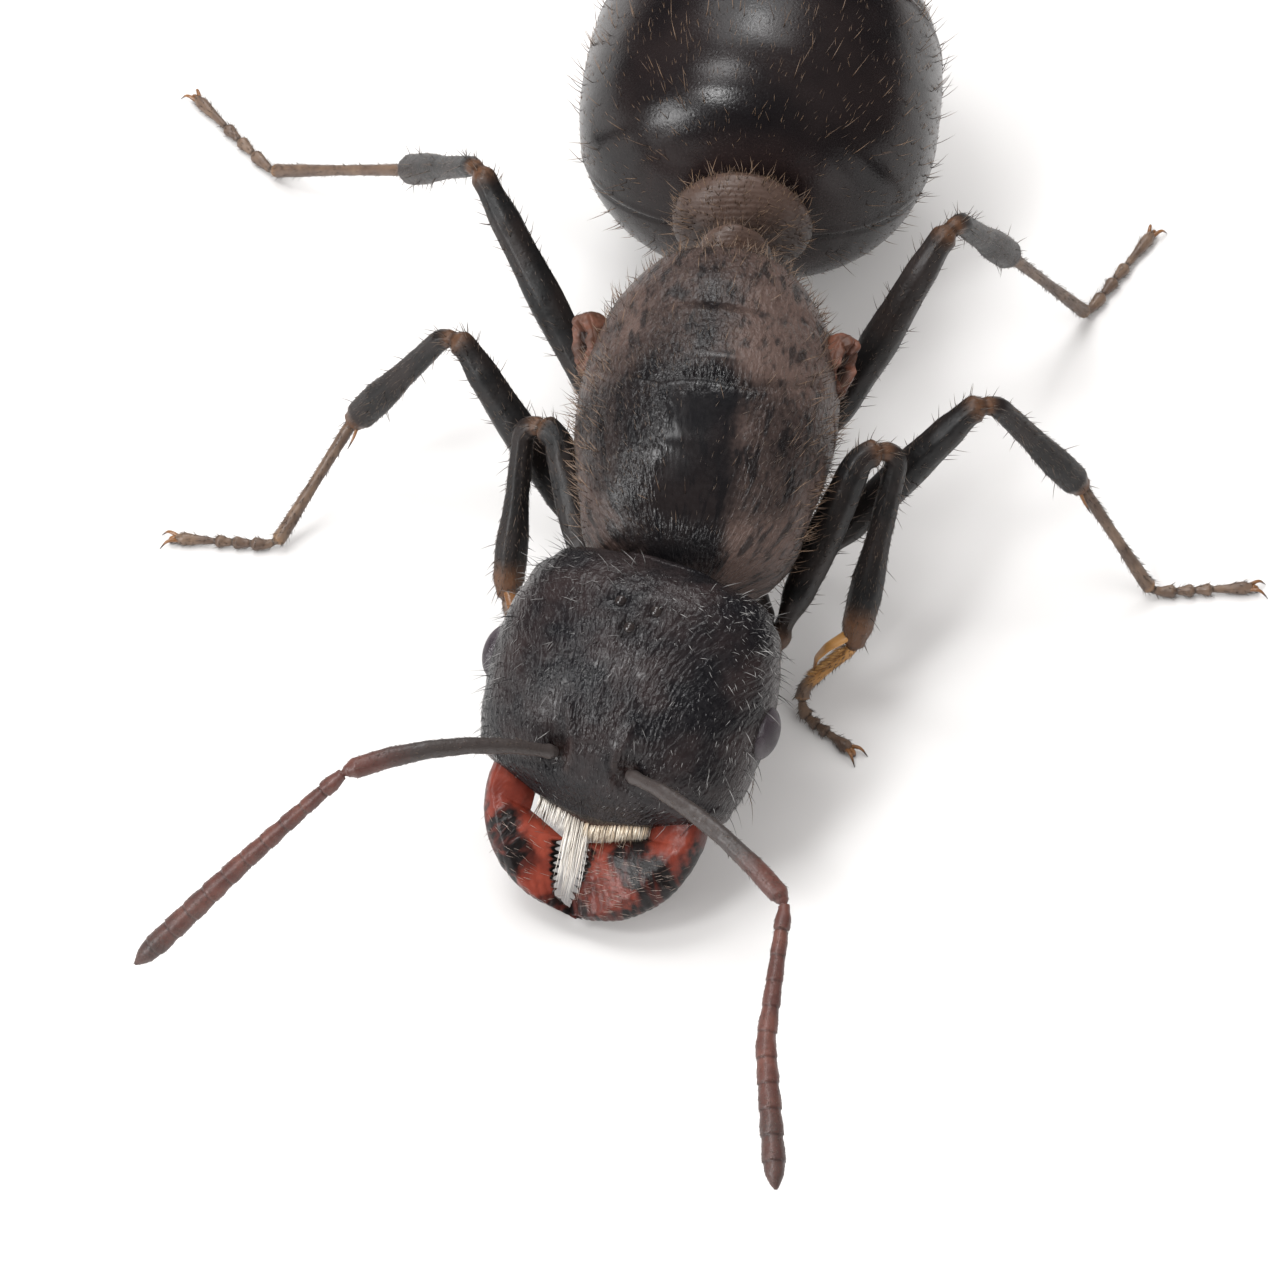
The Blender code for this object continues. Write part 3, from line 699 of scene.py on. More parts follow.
class Coat:
    """Single hairs, each a thin closed spike, gathered into one piece."""

    LOWEST = math.radians(-12.0)  # how far below the skin's lie a hair may end up

    def __init__(self, seed: int) -> None:
        """Start with no hair and a source of chance of its own."""
        self.draw = np.random.default_rng(seed)
        self.parts: list[Shape] = []

    def cover(self, skin: Skin, count: int, hair: Hair, weight: Density | None = None,
              lie: Callable[[Roots], Array] | None = None) -> None:
        """Spread hairs over a skin.

        Args:
            skin: where they grow.
            count: how many.
            hair: how they are made.
            weight: how much denser than elsewhere, from the skin's own terms.
            lie: the direction in which each leans, down the rows if it isn't given.
        """
        roots = skin.scatter(self.draw, count, weight)
        self.grow(roots, lie(roots) if lie else roots.along, hair)

    def grow(self, roots: Roots, lie: Array, hair: Hair) -> None:
        """Grow one hair on each root.

        Args:
            roots: where they stand.
            lie: the direction in which each leans.
            hair: how they are made.
        """
        count = len(roots.point)
        flat = lie + self.draw.normal(0.0, hair.stray, (count, 3))
        if not hair.free:
            flat = flat - (flat * roots.normal).sum(axis=1, keepdims=True) * roots.normal
        flat = unit(flat)
        angle = np.radians(self.draw.uniform(*hair.rise, count))[:, None]
        bend = np.maximum(angle - math.radians(hair.droop), self.LOWEST)
        start = np.cos(angle) * flat + np.sin(angle) * roots.normal
        finish = np.cos(bend) * flat + np.sin(bend) * roots.normal
        span = self.draw.uniform(*hair.length, count)[:, None]
        side = unit(np.cross(start, roots.normal + 0.01 * flat[:, ::-1]))
        lift = np.cross(side, start)
        places = np.arange(hair.joints + 1) / hair.joints
        layers = []
        for place in places[:-1]:
            spine = (roots.point - 2.0 * hair.thick * roots.normal
                     + span * (place * start + 0.5 * place ** 2 * (finish - start)))
            radius = hair.thick * (1.0 - 0.8 * place ** 1.5)
            for k in range(3):
                turn = TURN * k / 3.0
                layers.append(spine + radius * (math.cos(turn) * side + math.sin(turn) * lift))
        layers.append(roots.point + span * (start + 0.5 * (finish - start)))
        self._gather(roots, np.stack(layers, axis=1), places)

    def _gather(self, roots: Roots, points: Array, places: Array) -> None:
        """Add the faces of grown hairs.

        Args:
            roots: where they stand.
            points: the points of each, three to a ring, then its tip.
            places: how far up a hair each ring lies, then its tip.
        """
        count, per = points.shape[:2]
        faces = [(0, 2, 1)]
        last = per - 4
        for ring in range(0, last, 3):
            for k in range(3):
                a, b = ring + k, ring + (k + 1) % 3
                faces.append((a, b, b + 3, a + 3))
        faces += [(last + k, last + (k + 1) % 3, per - 1) for k in range(3)]
        pattern = np.concatenate([np.array(face) for face in faces])
        first = np.arange(count)[:, None] * per
        height = np.repeat(places, 3)[:per]
        nudge = np.stack((0.35 * np.cos(TURN * np.arange(per) / 3.0), height - 0.5), axis=1)
        chart = clamp(roots.chart[:, None] + TUFT_PATCH * nudge[None])
        shade = np.repeat(self.draw.random(count), per)
        self.parts.append(Shape(
            points.reshape(-1, 3), (first + pattern).ravel(),
            np.tile([len(face) for face in faces], count),
            chart[:, pattern].reshape(-1, 2),
            {"tip": np.tile(height, count), "shade": shade}))

    def shape(self) -> Shape:
        """All the hairs."""
        return Shape.joined(self.parts)


class Bench:
    """Writes pieces in metres, dresses them and ties them to the frame."""

    def __init__(self, wardrobe: Wardrobe) -> None:
        """Find where the ant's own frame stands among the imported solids.

        Args:
            wardrobe: hands out the materials.
        """
        low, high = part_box("mesothorax")
        self.shift = np.array(((low.x + high.x) / 2.0 / MM,
                               low.y / MM - Trunk.PROTHORAX_END - Trunk.SEAM / 2.0, 0.0))
        self.wardrobe = wardrobe
        self.triangles = 0

    def add(self, name: str, shape: Shape, finish: Finish, slot: str,
            stands_for: tuple[str, ...] = ()) -> None:
        """Make a piece.

        Args:
            name: its name.
            shape: its faces.
            finish: what it is dressed in.
            slot: the record's material slot; not used.
            stands_for: the solids that it replaces.
        """
        mesh = bpy.data.meshes.new(name)
        mesh.vertices.add(len(shape.points))
        mesh.vertices.foreach_set("co", ((shape.points + self.shift) * MM).ravel())
        mesh.loops.add(len(shape.corners))
        mesh.loops.foreach_set("vertex_index", shape.corners.astype(np.int32))
        mesh.polygons.add(len(shape.counts))
        starts = np.concatenate(([0], np.cumsum(shape.counts)[:-1]))
        mesh.polygons.foreach_set("loop_start", starts.astype(np.int32))
        mesh.update(calc_edges=True)
        chart = mesh.uv_layers.new(name=BAKE_MAP)
        chart.uv.foreach_set("vector", shape.chart.astype(np.float32).ravel())
        for key, values in shape.marks.items():
            mark = mesh.attributes.new(key, "FLOAT", "POINT")
            mark.data.foreach_set("value", values.astype(np.float32))
        mesh.shade_smooth()
        mesh.validate()
        mesh.materials.append(self.wardrobe.of(finish))
        piece = bpy.data.objects.new(name, mesh)
        bpy.context.scene.collection.objects.link(piece)
        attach(piece, BODY)
        if stands_for:
            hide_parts(*stands_for)
        triangles = int((shape.counts - 2).sum())
        self.triangles += triangles
        log.info("%-22s %7d triangles", name, triangles)


# ---------------- bodies and limbs

class Loft:
    """A body whose outline is given at stations: y, middle height, half width, rise, drop."""

    def __init__(self, stations: tuple[tuple[float, ...], ...], crown: float, keel: float,
                 inset: float = 0.03) -> None:
        """Hold the outline.

        Args:
            stations: from one end to the other.
            crown: roundness above the widest line, 2 being an ellipse.
            keel: roundness below it.
            inset: how far the skin lies inside the solid.
        """
        table = np.array(sorted(stations))
        self.y = table[:, 0]
        self.sizes = table[:, 1:]
        self.slopes = np.gradient(self.sizes, self.y, axis=0)
        self.crown = crown
        self.keel = keel
        self.inset = inset

    def at(self, y: Array) -> Array:
        """Middle, width, rise and drop at some places, eased by a cubic curve.

        Args:
            y: places along the body.

        Returns:
            One row for each place.
        """
        i = np.clip(np.searchsorted(self.y, y) - 1, 0, len(self.y) - 2)
        span = (self.y[i + 1] - self.y[i])[:, None]
        t = clamp((y - self.y[i])[:, None] / span)
        return ((2 * t**3 - 3 * t**2 + 1) * self.sizes[i]
                + (t**3 - 2 * t**2 + t) * span * self.slopes[i]
                + (3 * t**2 - 2 * t**3) * self.sizes[i + 1]
                + (t**3 - t**2) * span * self.slopes[i + 1])

    def skin(self, first: float, last: float, rows: int, columns: int,
             domes: Span = (0.06, 0.06),
             cell: Cell = WHOLE) -> Skin:
        """A closed skin between two places along the body.

        Args:
            first: where it starts.
            last: where it ends.
            rows: rings along it, spread evenly over its surface.
            columns: points in a ring.
            domes: how far each end bulges.
            cell: its part of the map.

        Returns:
            The skin, in the outline's frame.
        """
        dense = np.linspace(first, last, 2000)
        sizes = self.at(dense)
        steps = np.hypot(np.diff(dense), np.abs(np.diff(sizes[:, 1:3], axis=0)).max(axis=1))
        travel = np.concatenate(([0.0], np.cumsum(steps)))
        y = np.interp(np.linspace(0.0, travel[-1], rows), travel, dense)
        scale = np.ones(rows)
        sense = math.copysign(1.0, last - first)
        curve = np.linspace(0.0, 0.47 * math.pi, 7)[1:]
        y = np.concatenate((first - sense * domes[0] * np.sin(curve[::-1]), y,
                            last + sense * domes[1] * np.sin(curve)))
        scale = np.concatenate((np.cos(curve[::-1]), scale, np.cos(curve)))
        held = np.clip(y, min(first, last), max(first, last))
        middle, width, rise, drop = self.at(held).T
        angle = TURN * np.arange(columns) / columns
        above = np.sin(angle) >= 0.0
        power = np.where(above, 2.0 / self.crown, 2.0 / self.keel)
        across = np.sign(np.cos(angle)) * np.abs(np.cos(angle)) ** power
        up = np.sign(np.sin(angle)) * np.abs(np.sin(angle)) ** power
        height = np.where(above, rise[:, None], drop[:, None]) - self.inset
        points = np.empty((len(y), columns, 3))
        points[..., 0] = ((width - self.inset) * scale)[:, None] * across
        points[..., 1] = y[:, None]
        points[..., 2] = middle[:, None] + height * scale[:, None] * up
        return Skin(points, cell=cell)


class Path:
    """A smooth middle line through corners, read by the length travelled along it."""

    SAMPLES = 900

    def __init__(self, corners: tuple[Corner, ...], bend: float, soften: float = 0.035) -> None:
        """Round the corners and even out the line.

        Args:
            corners: where the line would turn.
            bend: radius of its turns.
            soften: length over which it is evened out.
        """
        points = self._rounded([Vector(corner) for corner in corners], bend)
        travel = self._lengths(points)
        self.travel = np.linspace(0.0, travel[-1], self.SAMPLES)
        line = np.stack([np.interp(self.travel, travel, points[:, k]) for k in range(3)], axis=1)
        reach = max(int(2.5 * soften / (self.travel[1])), 1)
        kernel = bell(np.arange(-reach, reach + 1) * self.travel[1], soften)
        kernel /= kernel.sum()
        padded = np.concatenate((2 * line[0] - line[reach:0:-1], line,
                                 2 * line[-1] - line[-2:-reach - 2:-1]))
        self.line = np.stack([np.convolve(padded[:, k], kernel, "valid") for k in range(3)],
                             axis=1)
        self.length = float(self.travel[-1])
        self.heading = unit(np.gradient(self.line, axis=0))
        self.side = self._carried_sides()

    @staticmethod
    def _lengths(points: Array) -> Array:
        """The length travelled at each point."""
        steps = np.linalg.norm(np.diff(points, axis=0), axis=1)
        return np.concatenate(([0.0], np.cumsum(steps)))

    @staticmethod
    def _rounded(corners: list[Vector], bend: float) -> Array:
        """Points with an arc at each inner corner.

        Args:
            corners: where the line would turn.
            bend: radius of its turns.

        Returns:
            The points in order.
        """
        points = [corners[0]]
        for before, corner, after in zip(corners, corners[1:], corners[2:]):
            into = (corner - before).normalized()
            out = (after - corner).normalized()
            turn = into.angle(out)
            trim = min(bend * math.tan(turn / 2.0), 0.45 * (corner - before).length,
                       0.45 * (after - corner).length)
            radius = trim / math.tan(turn / 2.0)
            centre = corner + (out - into).normalized() * (radius / math.cos(turn / 2.0))
            arm = corner - into * trim - centre
            axis = into.cross(out).normalized()
            points += [centre + Quaternion(axis, turn * k / 12.0) @ arm for k in range(13)]
        points.append(corners[-1])
        return np.array([tuple(point) for point in points])

    def _carried_sides(self) -> Array:
        """A side direction that is carried down the line without twisting.

        Returns:
            One direction for each sample.
        """
        sides = np.empty_like(self.line)
        side = unit(np.cross(self.heading[0], (0.0, 0.0, 1.0)))
        for i, heading in enumerate(self.heading):
            side = unit(side - heading * float(side @ heading))
            sides[i] = side
        return sides

    def at(self, s: Array) -> tuple[Array, Array, Array]:
        """The points after some lengths, with the side and upper directions there.

        Args:
            s: the lengths.

        Returns:
            Three arrays, with one row for each length.
        """
        def read(table: Array) -> Array:
            """Read a table between samples."""
            return np.stack([np.interp(s, self.travel, table[:, k]) for k in range(3)], axis=-1)
        heading = unit(read(self.heading))
        side = unit(read(self.side))
        return read(self.line), side, np.cross(side, heading)

    def nearest(self, point: Point) -> float:
        """The length at which the line passes closest to a point."""
        return float(self.travel[np.argmin(np.linalg.norm(self.line - point, axis=1))])


class Limb:
    """A limb along a path, whose stages count its joints from 0 at the root."""

    def __init__(self, path: Path, joints: tuple[float, ...]) -> None:
        """Hold the path and the lengths at which its joints lie."""
        self.path = path
        self.joints = joints

    def skin(self, first: float, last: float, rows: int, columns: int,
             girth: Callable[[Array], Array], flat: float = 1.0,
             cell: Cell = WHOLE) -> Skin:
        """A closed skin between two stages.

        Args:
            first: stage where it starts.
            last: stage where it ends.
            rows: rings along it.
            columns: points in a ring.
            girth: radius at each stage.
            flat: thickness as a share of the width.
            cell: its part of the map.

        Returns:
            The skin, whose own terms are stage, angle from its side and length travelled.
        """
        numbers = np.arange(len(self.joints))
        ends = np.interp((first, last), numbers, self.joints)
        s = np.linspace(*ends, rows)
        stage = np.interp(s, self.joints, numbers)
        radius = girth(stage)
        middle, side, above = self.path.at(s)
        angle = TURN * np.arange(columns) / columns
        points = (middle[:, None]
                  + (radius[:, None] * np.cos(angle))[..., None] * side[:, None]
                  + (flat * radius[:, None] * np.sin(angle))[..., None] * above[:, None])
        own = stacked(stage[:, None], angle, s[:, None])
        return Skin(points, own, cell)


def spike(corners: tuple[Corner, ...], girth: Span,
          rows: int = 14, columns: int = 10, flat: float = 1.0) -> Shape:
    """A claw or spur: a tapered, curved spike.

    Args:
        corners: its middle line.
        girth: radius at its root and at its point.
        rows: rings along it.
        columns: points in a ring.
        flat: thickness as a share of the width.

    Returns:
        Its faces.
    """
    path = Path(corners, 0.12, 0.02)
    limb = Limb(path, (0.0, path.length))
    skin = limb.skin(0.0, 1.0, rows, columns,
                     lambda stage: girth[0] + (girth[1] - girth[0]) * stage ** 1.4, flat)
    skin.marks["mark"] = ramp(skin.own[..., 0], 0.4, 1.0)
    return skin.shape()


def dome(radii: Point, reach: float, rows: int, columns: int) -> Skin:
    """A closed dome over the origin.

    Args:
        radii: its half width, half length and height.
        reach: how far it goes down from its top, in half turns.
        rows: rings on it.
        columns: points in a ring.

    Returns:
        Its skin.
    """
    tilt = np.linspace(0.03, reach * math.pi, rows)[:, None]
    angle = TURN * np.arange(columns) / columns
    return Skin(stacked(radii[0] * np.sin(tilt) * np.cos(angle),
                        radii[1] * np.sin(tilt) * np.sin(angle), radii[2] * np.cos(tilt)))


# ---------------- the head

@dataclass
class Head:
    """The head capsule with its clypeus, sockets and small eyes, and what it carries.

    In its own frame -Y is ahead of the face and +Z over it. Its three turns are in degrees.
    """

    place: Point = (-0.50, -1.11, 2.40)
    pitch: float = 36.0
    roll: float = -9.3
    turn: float = -12.3
    rows: int = 146
    columns: int = 600
    stripe: float = 0.058         # from one fine ridge to the next
    stripe_height: float = 0.004
    eye_place: Point = (1.74, -0.02, 0.02)
    eye_radii: Point = (0.22, 0.35, 0.30)
    lens_pitch: float = 0.030
    socket: Span = (0.48, -1.00)
    small_eyes: Route = ((0.0, 0.70), (0.23, 0.98), (-0.23, 0.98))
    small_eye: float = 0.075      # radius of one
    crown: float = 2.3            # roundness of the face, 2 being an ellipse
    keel: float = 2.2             # roundness of the throat

    OUTLINE = (
        (1.60, 0.03, 0.56, 0.22, 0.30), (1.52, 0.03, 1.04, 0.44, 0.54),
        (1.26, 0.03, 1.48, 0.78, 0.84), (0.82, 0.02, 1.70, 1.05, 1.02),
        (0.25, 0.00, 1.80, 1.18, 1.06), (-0.40, -0.02, 1.79, 1.13, 1.00),
        (-1.00, -0.05, 1.68, 0.94, 0.86), (-1.28, -0.07, 1.50, 0.74, 0.72),
        (-1.44, -0.09, 1.04, 0.58, 0.58), (-1.56, -0.10, 0.74, 0.42, 0.44),
        (-1.68, -0.11, 0.44, 0.26, 0.30), (-1.73, -0.11, 0.24, 0.17, 0.19))
    CLYPEUS_SEAM = ((1.20, -1.22), (0.80, -1.22), (0.44, -1.20), (0.26, -1.02), (0.20, -0.84),
                    (0.0, -0.78))
    FRONTAL_LOBE = ((0.29, -1.16), (0.27, -0.92), (0.36, -0.62), (0.42, -0.40))

    def matrix(self) -> Matrix:
        """The attitude and place of the head: pitch, then roll, then turn."""
        turn = spin(x=self.pitch) @ spin(y=self.roll) @ spin(z=self.turn)
        return Matrix.Translation(self.place) @ turn.to_4x4()

    def _flow(self, own: Array) -> tuple[Array, Array]:
        """Distance across the fine ridges, for those along the face and round the nape.

        Args:
            own: places in the head's frame.

        Returns:
            Both distances.
        """
        x, y, z = np.moveaxis(own, -1, 0)
        girth = np.arctan2(x, z + 0.55) * 1.55
        spread = 1.0 + 0.95 * ramp(y, -0.5, 1.5) ** 2
        return girth / spread, y + 0.30 * z

    def _off_eye(self, y: Array, z: Array) -> Array:
        """Distance from the middle of an eye, 1 at its rim."""
        return np.hypot((y - self.eye_place[1]) / self.eye_radii[1],
                        (z - self.eye_place[2]) / self.eye_radii[2])

    def _relief(self, skin: Skin) -> Array:
        """Height of the seams, pits and ridges over the smooth capsule.

        Args:
            skin: the smooth capsule, which is marked here too.

        Returns:
            One height for each point.
        """
        own = skin.own
        x, y, z = np.moveaxis(own, -1, 0)
        reach = np.abs(x)
        face = ramp(z, 0.02, 0.35)
        grain = Grain(11)
        height = 0.016 * grain.at(own, 0.7) + 0.006 * grain.at(own, 0.22)
        seam = bell(gap_to(self.CLYPEUS_SEAM, reach, y), 0.028) * face
        pit = bell(np.hypot(reach - self.socket[0], (y - self.socket[1]) * 0.85), 0.17) * face
        lobe = bell(gap_to(self.FRONTAL_LOBE, reach, y), 0.085) * face
        furrow = bell(x, 0.028) * between(y, -0.74, 0.52, 0.08) * face
        rim = bell(y + 1.62 - 0.22 * reach ** 2, 0.035) * ramp(z, -0.1, 0.2)
        height += -0.018 * seam - 0.11 * pit + 0.035 * lobe - 0.007 * furrow + 0.018 * rim
        dent = np.zeros_like(x)
        for spot in self.small_eyes:
            gap = np.hypot(x - spot[0], y - spot[1])
            dent = np.maximum(dent, bell(gap, 0.105) * face)
        height -= 0.045 * dent
        eye = self._off_eye(y, z)
        cheek = ramp(reach, 1.25, 1.5)
        height += (-0.018 * bell(eye - 1.06, 0.06) + 0.010 * bell(eye - 1.24, 0.08)) * cheek
        throat = (1.0 - ramp(z, -0.5, -0.3)) * bell(x, 0.05)
        height -= 0.03 * throat * between(y, -1.1, 1.2, 0.1)
        forward, round_nape = self._flow(own)
        wander = 0.040 * grain.at(own, 0.34) + 0.012 * grain.at(own, 0.11)
        nape = ramp(y, 0.95, 1.35) * face
        stripes = (1.0 - nape) * self._ridges(forward + wander)
        stripes += nape * self._ridges(round_nape + wander)
        broken = ramp(grain.at(own * (1.0, 0.45, 1.0), 0.10), -0.45, 0.35)
        calm = 1.0 - 0.6 * clamp(dent + pit + bell(eye, 1.0) * cheek)
        height += self.stripe_height * stripes * broken * calm
        front = self.small_eyes[0]
        well = bell(np.hypot(x - front[0], y - front[1]), 0.20) * face
        # painted shade in the clypeal seam, the sockets, the small-eye dents, the midline furrow,
        # the well round the front small eye and the groove round each compound eye
        skin.marks["hollow_shade"] = clamp(0.3 * seam + 0.45 * pit + 0.6 * dent + 0.10 * furrow
                                     + 0.6 * well + 0.4 * cheek * bell(eye - 1.06, 0.05))
        skin.marks["across"] = forward + 0.5 * wander
        skin.marks["along"] = skin.travel()[:, None] + 0.0 * y
        skin.marks["mark"] = clamp(
            0.60 * ramp(-y + 0.2 * reach, 1.62, 1.76) + 0.35 * pit + 0.2 * lobe
            + 0.5 * ramp(reach, 1.15, 1.45) * ramp(-y, 1.0, 1.35))
        return height

    def _ridges(self, across: Array) -> Array:
        """Rounded ridges with narrow furrows between them."""
        return np.abs(np.sin(math.pi * across / self.stripe)) ** 0.8 - 0.55

    def shell(self) -> Skin:
        """The capsule, in the ant's frame.

        Returns:
            One closed skin.
        """
        loft = Loft(self.OUTLINE, self.crown, self.keel)
        skin = loft.skin(1.60, -1.73, self.rows, self.columns, (0.05, 0.03))
        skin.raise_by(self._relief(skin))
        skin.placed(self.matrix())
        return skin

    def eye(self, side: float) -> Shape:
        """One compound eye, a low dome of small lenses.

        Args:
            side: 1 for her left, -1 for her right.

        Returns:
            Its faces.
        """
        rows, columns = 92, 230
        tilt = np.linspace(0.02, 0.60 * math.pi, rows)[:, None]
        angle = TURN * np.arange(columns) / columns
        bulge, front, up = self.eye_radii
        lift = np.broadcast_to(np.cos(tilt), (rows, columns))
        p = front * np.sin(tilt) * np.cos(angle)
        q = up * np.sin(tilt) * np.sin(angle)
        edge = self._honeycomb(tilt * np.cos(angle) * front, tilt * np.sin(angle) * up)
        own = np.stack((bulge * lift, p, q), axis=-1)
        skin = Skin(own * (side, 1.0, 1.0))
        skin.raise_by(-0.010 * edge ** 2)
        skin.marks["mark"] = ramp(edge, 0.72, 1.0)
        shift = Matrix.Translation((side * (self.eye_place[0] - 0.02), *self.eye_place[1:]))
        skin.placed(self.matrix() @ shift)
        return skin.shape()

    def _honeycomb(self, p: Array, q: Array) -> Array:
        """Distance from the middle of the nearest lens, 1 at the seam between two.

        Args:
            p: distances forward on the dome.
            q: distances up it.

        Returns:
            One share for each point.
        """
        across, down = self.lens_pitch, self.lens_pitch * math.sqrt(3.0)
        even = np.hypot(p - across * np.round(p / across), q - down * np.round(q / down))
        odd = np.hypot(p - across * (np.floor(p / across) + 0.5),
                       q - down * (np.floor(q / down) + 0.5))
        return np.minimum(np.minimum(even, odd) / (0.5 * across), 1.0)

    def lenses(self) -> Shape:
        """The three small eyes on the crown.

        Returns:
            The faces of all three.
        """
        domes = []
        matrix = self.matrix()
        loft = Loft(self.OUTLINE, self.crown, self.keel)
        for x, y in self.small_eyes:
            middle, width, rise = loft.at(np.array([y]))[0, :3]
            share = (1.0 - abs(x / width) ** self.crown) ** (1.0 / self.crown)
            skin = dome((self.small_eye, self.small_eye, 0.8 * self.small_eye), 0.62, 14, 28)
            z = middle + rise * share - self.small_eye
            skin.placed(matrix @ Matrix.Translation((x, y, z)))
            domes.append(skin.shape())
        return Shape.joined(domes)

    def mouth(self) -> Skin:
        """The folded lower jaws and lip under the front of the head.

        Returns:
            One closed skin.
        """
        loft = Loft(((-0.20, -0.92, 0.34, 0.20, 0.18), (-0.60, -0.86, 0.50, 0.30, 0.26),
                     (-1.10, -0.74, 0.52, 0.32, 0.24), (-1.50, -0.58, 0.40, 0.22, 0.16)),
                    2.0, 2.0, 0.02)
        skin = loft.skin(-0.20, -1.46, 60, 72, (0.05, 0.06))
        x, y, z = np.moveaxis(skin.own, -1, 0)
        under = 1.0 - ramp(z, -0.95, -0.75)
        parted = bell(np.abs(x) - 0.16, 0.02) * under + bell(y + 0.75, 0.02) * under
        skin.raise_by(-0.03 * parted + 0.006 * Grain(5).at(skin.own, 0.07))
        # painted shade along the folds where the lower jaws part
        skin.marks["hollow_shade"] = clamp(parted)
        skin.placed(self.matrix())
        return skin

    def build(self, bench: Bench) -> None:
        """Make every piece of the head and its coat.

        Args:
            bench: writes the pieces.
        """
        shell = self.shell()
        bench.add("head_capsule", shell.shape(), Finish.HEAD, "head_shell", ("head",))
        bench.add("small_eyes", self.lenses(), Finish.LENS, "eye")
        for name, side in SIDES:
            bench.add("compound_eye_" + name, self.eye(side), Finish.EYE, "eye",
                      ("eye_" + name,))
        bench.add("lower_jaws", self.mouth().shape(), Finish.MOUTH, "head_shell",
                  ("mouthparts",))
        self._grow(shell, bench)

    def _lie(self, roots: Roots) -> Array:
        """Hair runs forward on the face and sweeps out towards the cheeks and nape.

        Args:
            roots: where hairs grow.

        Returns:
            One direction for each.
        """
        x, y, z = roots.own.T
        sweep = 0.9 * np.tanh(2.0 * x) * ramp(y, -0.6, 1.3) * ramp(z, -0.1, 0.4)
        return unit(roots.along - sweep[:, None] * roots.around)

    def _clear_of_eyes(self, x: Array, y: Array, z: Array) -> Array:
        """Full on the face, thin on the throat, none on eyes and lenses.

        Args:
            x: distance to her left.
            y: distance to the nape.
            z: height over the middle.

        Returns:
            How dense the hair is.
        """
        bare = (np.abs(x) > 1.3) * (self._off_eye(y, z) < 1.15)
        for spot in self.small_eyes:
            bare = bare + (np.hypot(x - spot[0], y - spot[1]) < 0.10) * (z > 0.0)
        return (0.35 + 0.65 * ramp(z, -0.4, 0.2)) * (bare == 0) * (y > -1.60) * (y < 1.5)

    def _rim(self, x: Array, y: Array, z: Array) -> Array:
        """Mostly on the nape and the cheeks."""
        return (self._clear_of_eyes(x, y, z)
                * (0.15 + ramp(y, 0.7, 1.4) + ramp(np.abs(x), 1.1, 1.6)))

    @staticmethod
    def _margin(x: Array, y: Array, z: Array) -> Array:
        """1 on the front edge of the clypeus."""
        return (y < -1.52 - 0.18 * bell(x, 0.5)) * (z > -0.25) * (z < 0.15)

    def _ahead(self, roots: Roots) -> Array:
        """The direction straight ahead of the face, for each root."""
        ahead = np.array(self.matrix().to_3x3() @ Vector((0.0, -1.0, -0.12)))
        return np.broadcast_to(ahead, roots.point.shape)

    def _grow(self, shell: Skin, bench: Bench) -> None:
        """Grow the coat: down, beard, the brush along the lip and white bristles beside it.

        Args:
            shell: the capsule.
            bench: writes the pieces.
        """
        down, beard, lip, white = (Coat(seed) for seed in (21, 22, 23, 24))
        # short hair that lies on the capsule, and a few hairs that stand
        for count, hair, weight in (
                (1700, Hair((0.04, 0.09), 0.0034, (4.0, 18.0), 10.0), self._clear_of_eyes),
                (460, Hair((0.07, 0.15), 0.0044, (20.0, 50.0), 24.0, 3, 0.35), self._rim),
                (170, Hair((0.22, 0.34), 0.0055, (50.0, 85.0), 26.0, 3, 0.4), self._rim)):
            down.cover(shell, count, hair, weight, self._lie)
        # long bowed hairs of the throat, then the fringe of the clypeus
        beard.cover(shell, 150, Hair((0.45, 0.85), 0.009, (45.0, 75.0), 75.0, 5, 0.2),
                    lambda x, y, z: (z < -0.55) * between(y, -1.2, 0.9, 0.1))
        beard.cover(shell, 26, Hair((0.22, 0.50), 0.0075, (0.0, 14.0), 14.0, 4, 0.15, True),
                    lambda x, y, z: self._margin(x, y, z) * (np.abs(x) < 0.9), self._ahead)
        # a dense pale brush along the clypeus on her left
        lip.cover(shell, 1100, Hair((0.10, 0.19), 0.0080, (0.0, 12.0), 8.0, 2, 0.06, True),
                  lambda x, y, z: self._margin(x, y, z) * between(x, -0.05, 0.78, 0.06),
                  self._ahead)
        # long bristles over the gap between the jaws, then shorter ones beside them
        white.cover(shell, 90, Hair((0.45, 1.02), 0.0100, (0.0, 6.0), 6.0, 3, 0.03, True),
                    lambda x, y, z: self._margin(x, y, z) * between(x, -0.31, 0.0, 0.04)
                    * (z > -0.12), lambda roots: self._ahead(roots) + (0.09, 0.0, 0.0))
        white.cover(shell, 260, Hair((0.12, 0.26), 0.0090, (0.0, 12.0), 8.0, 3, 0.05, True),
                    lambda x, y, z: self._margin(x, y, z) * between(x, -0.74, -0.20, 0.04),
                    self._ahead)
        for name, coat, finish in (("head", down, Finish.GREY_HAIR),
                                   ("beard", beard, Finish.GOLD_HAIR),
                                   ("lip", lip, Finish.CREAM_HAIR),
                                   ("bristles", white, Finish.WHITE_HAIR)):
            bench.add("coat_" + name, coat.shape(), finish, "head_shell")


# ---------------- the jaws

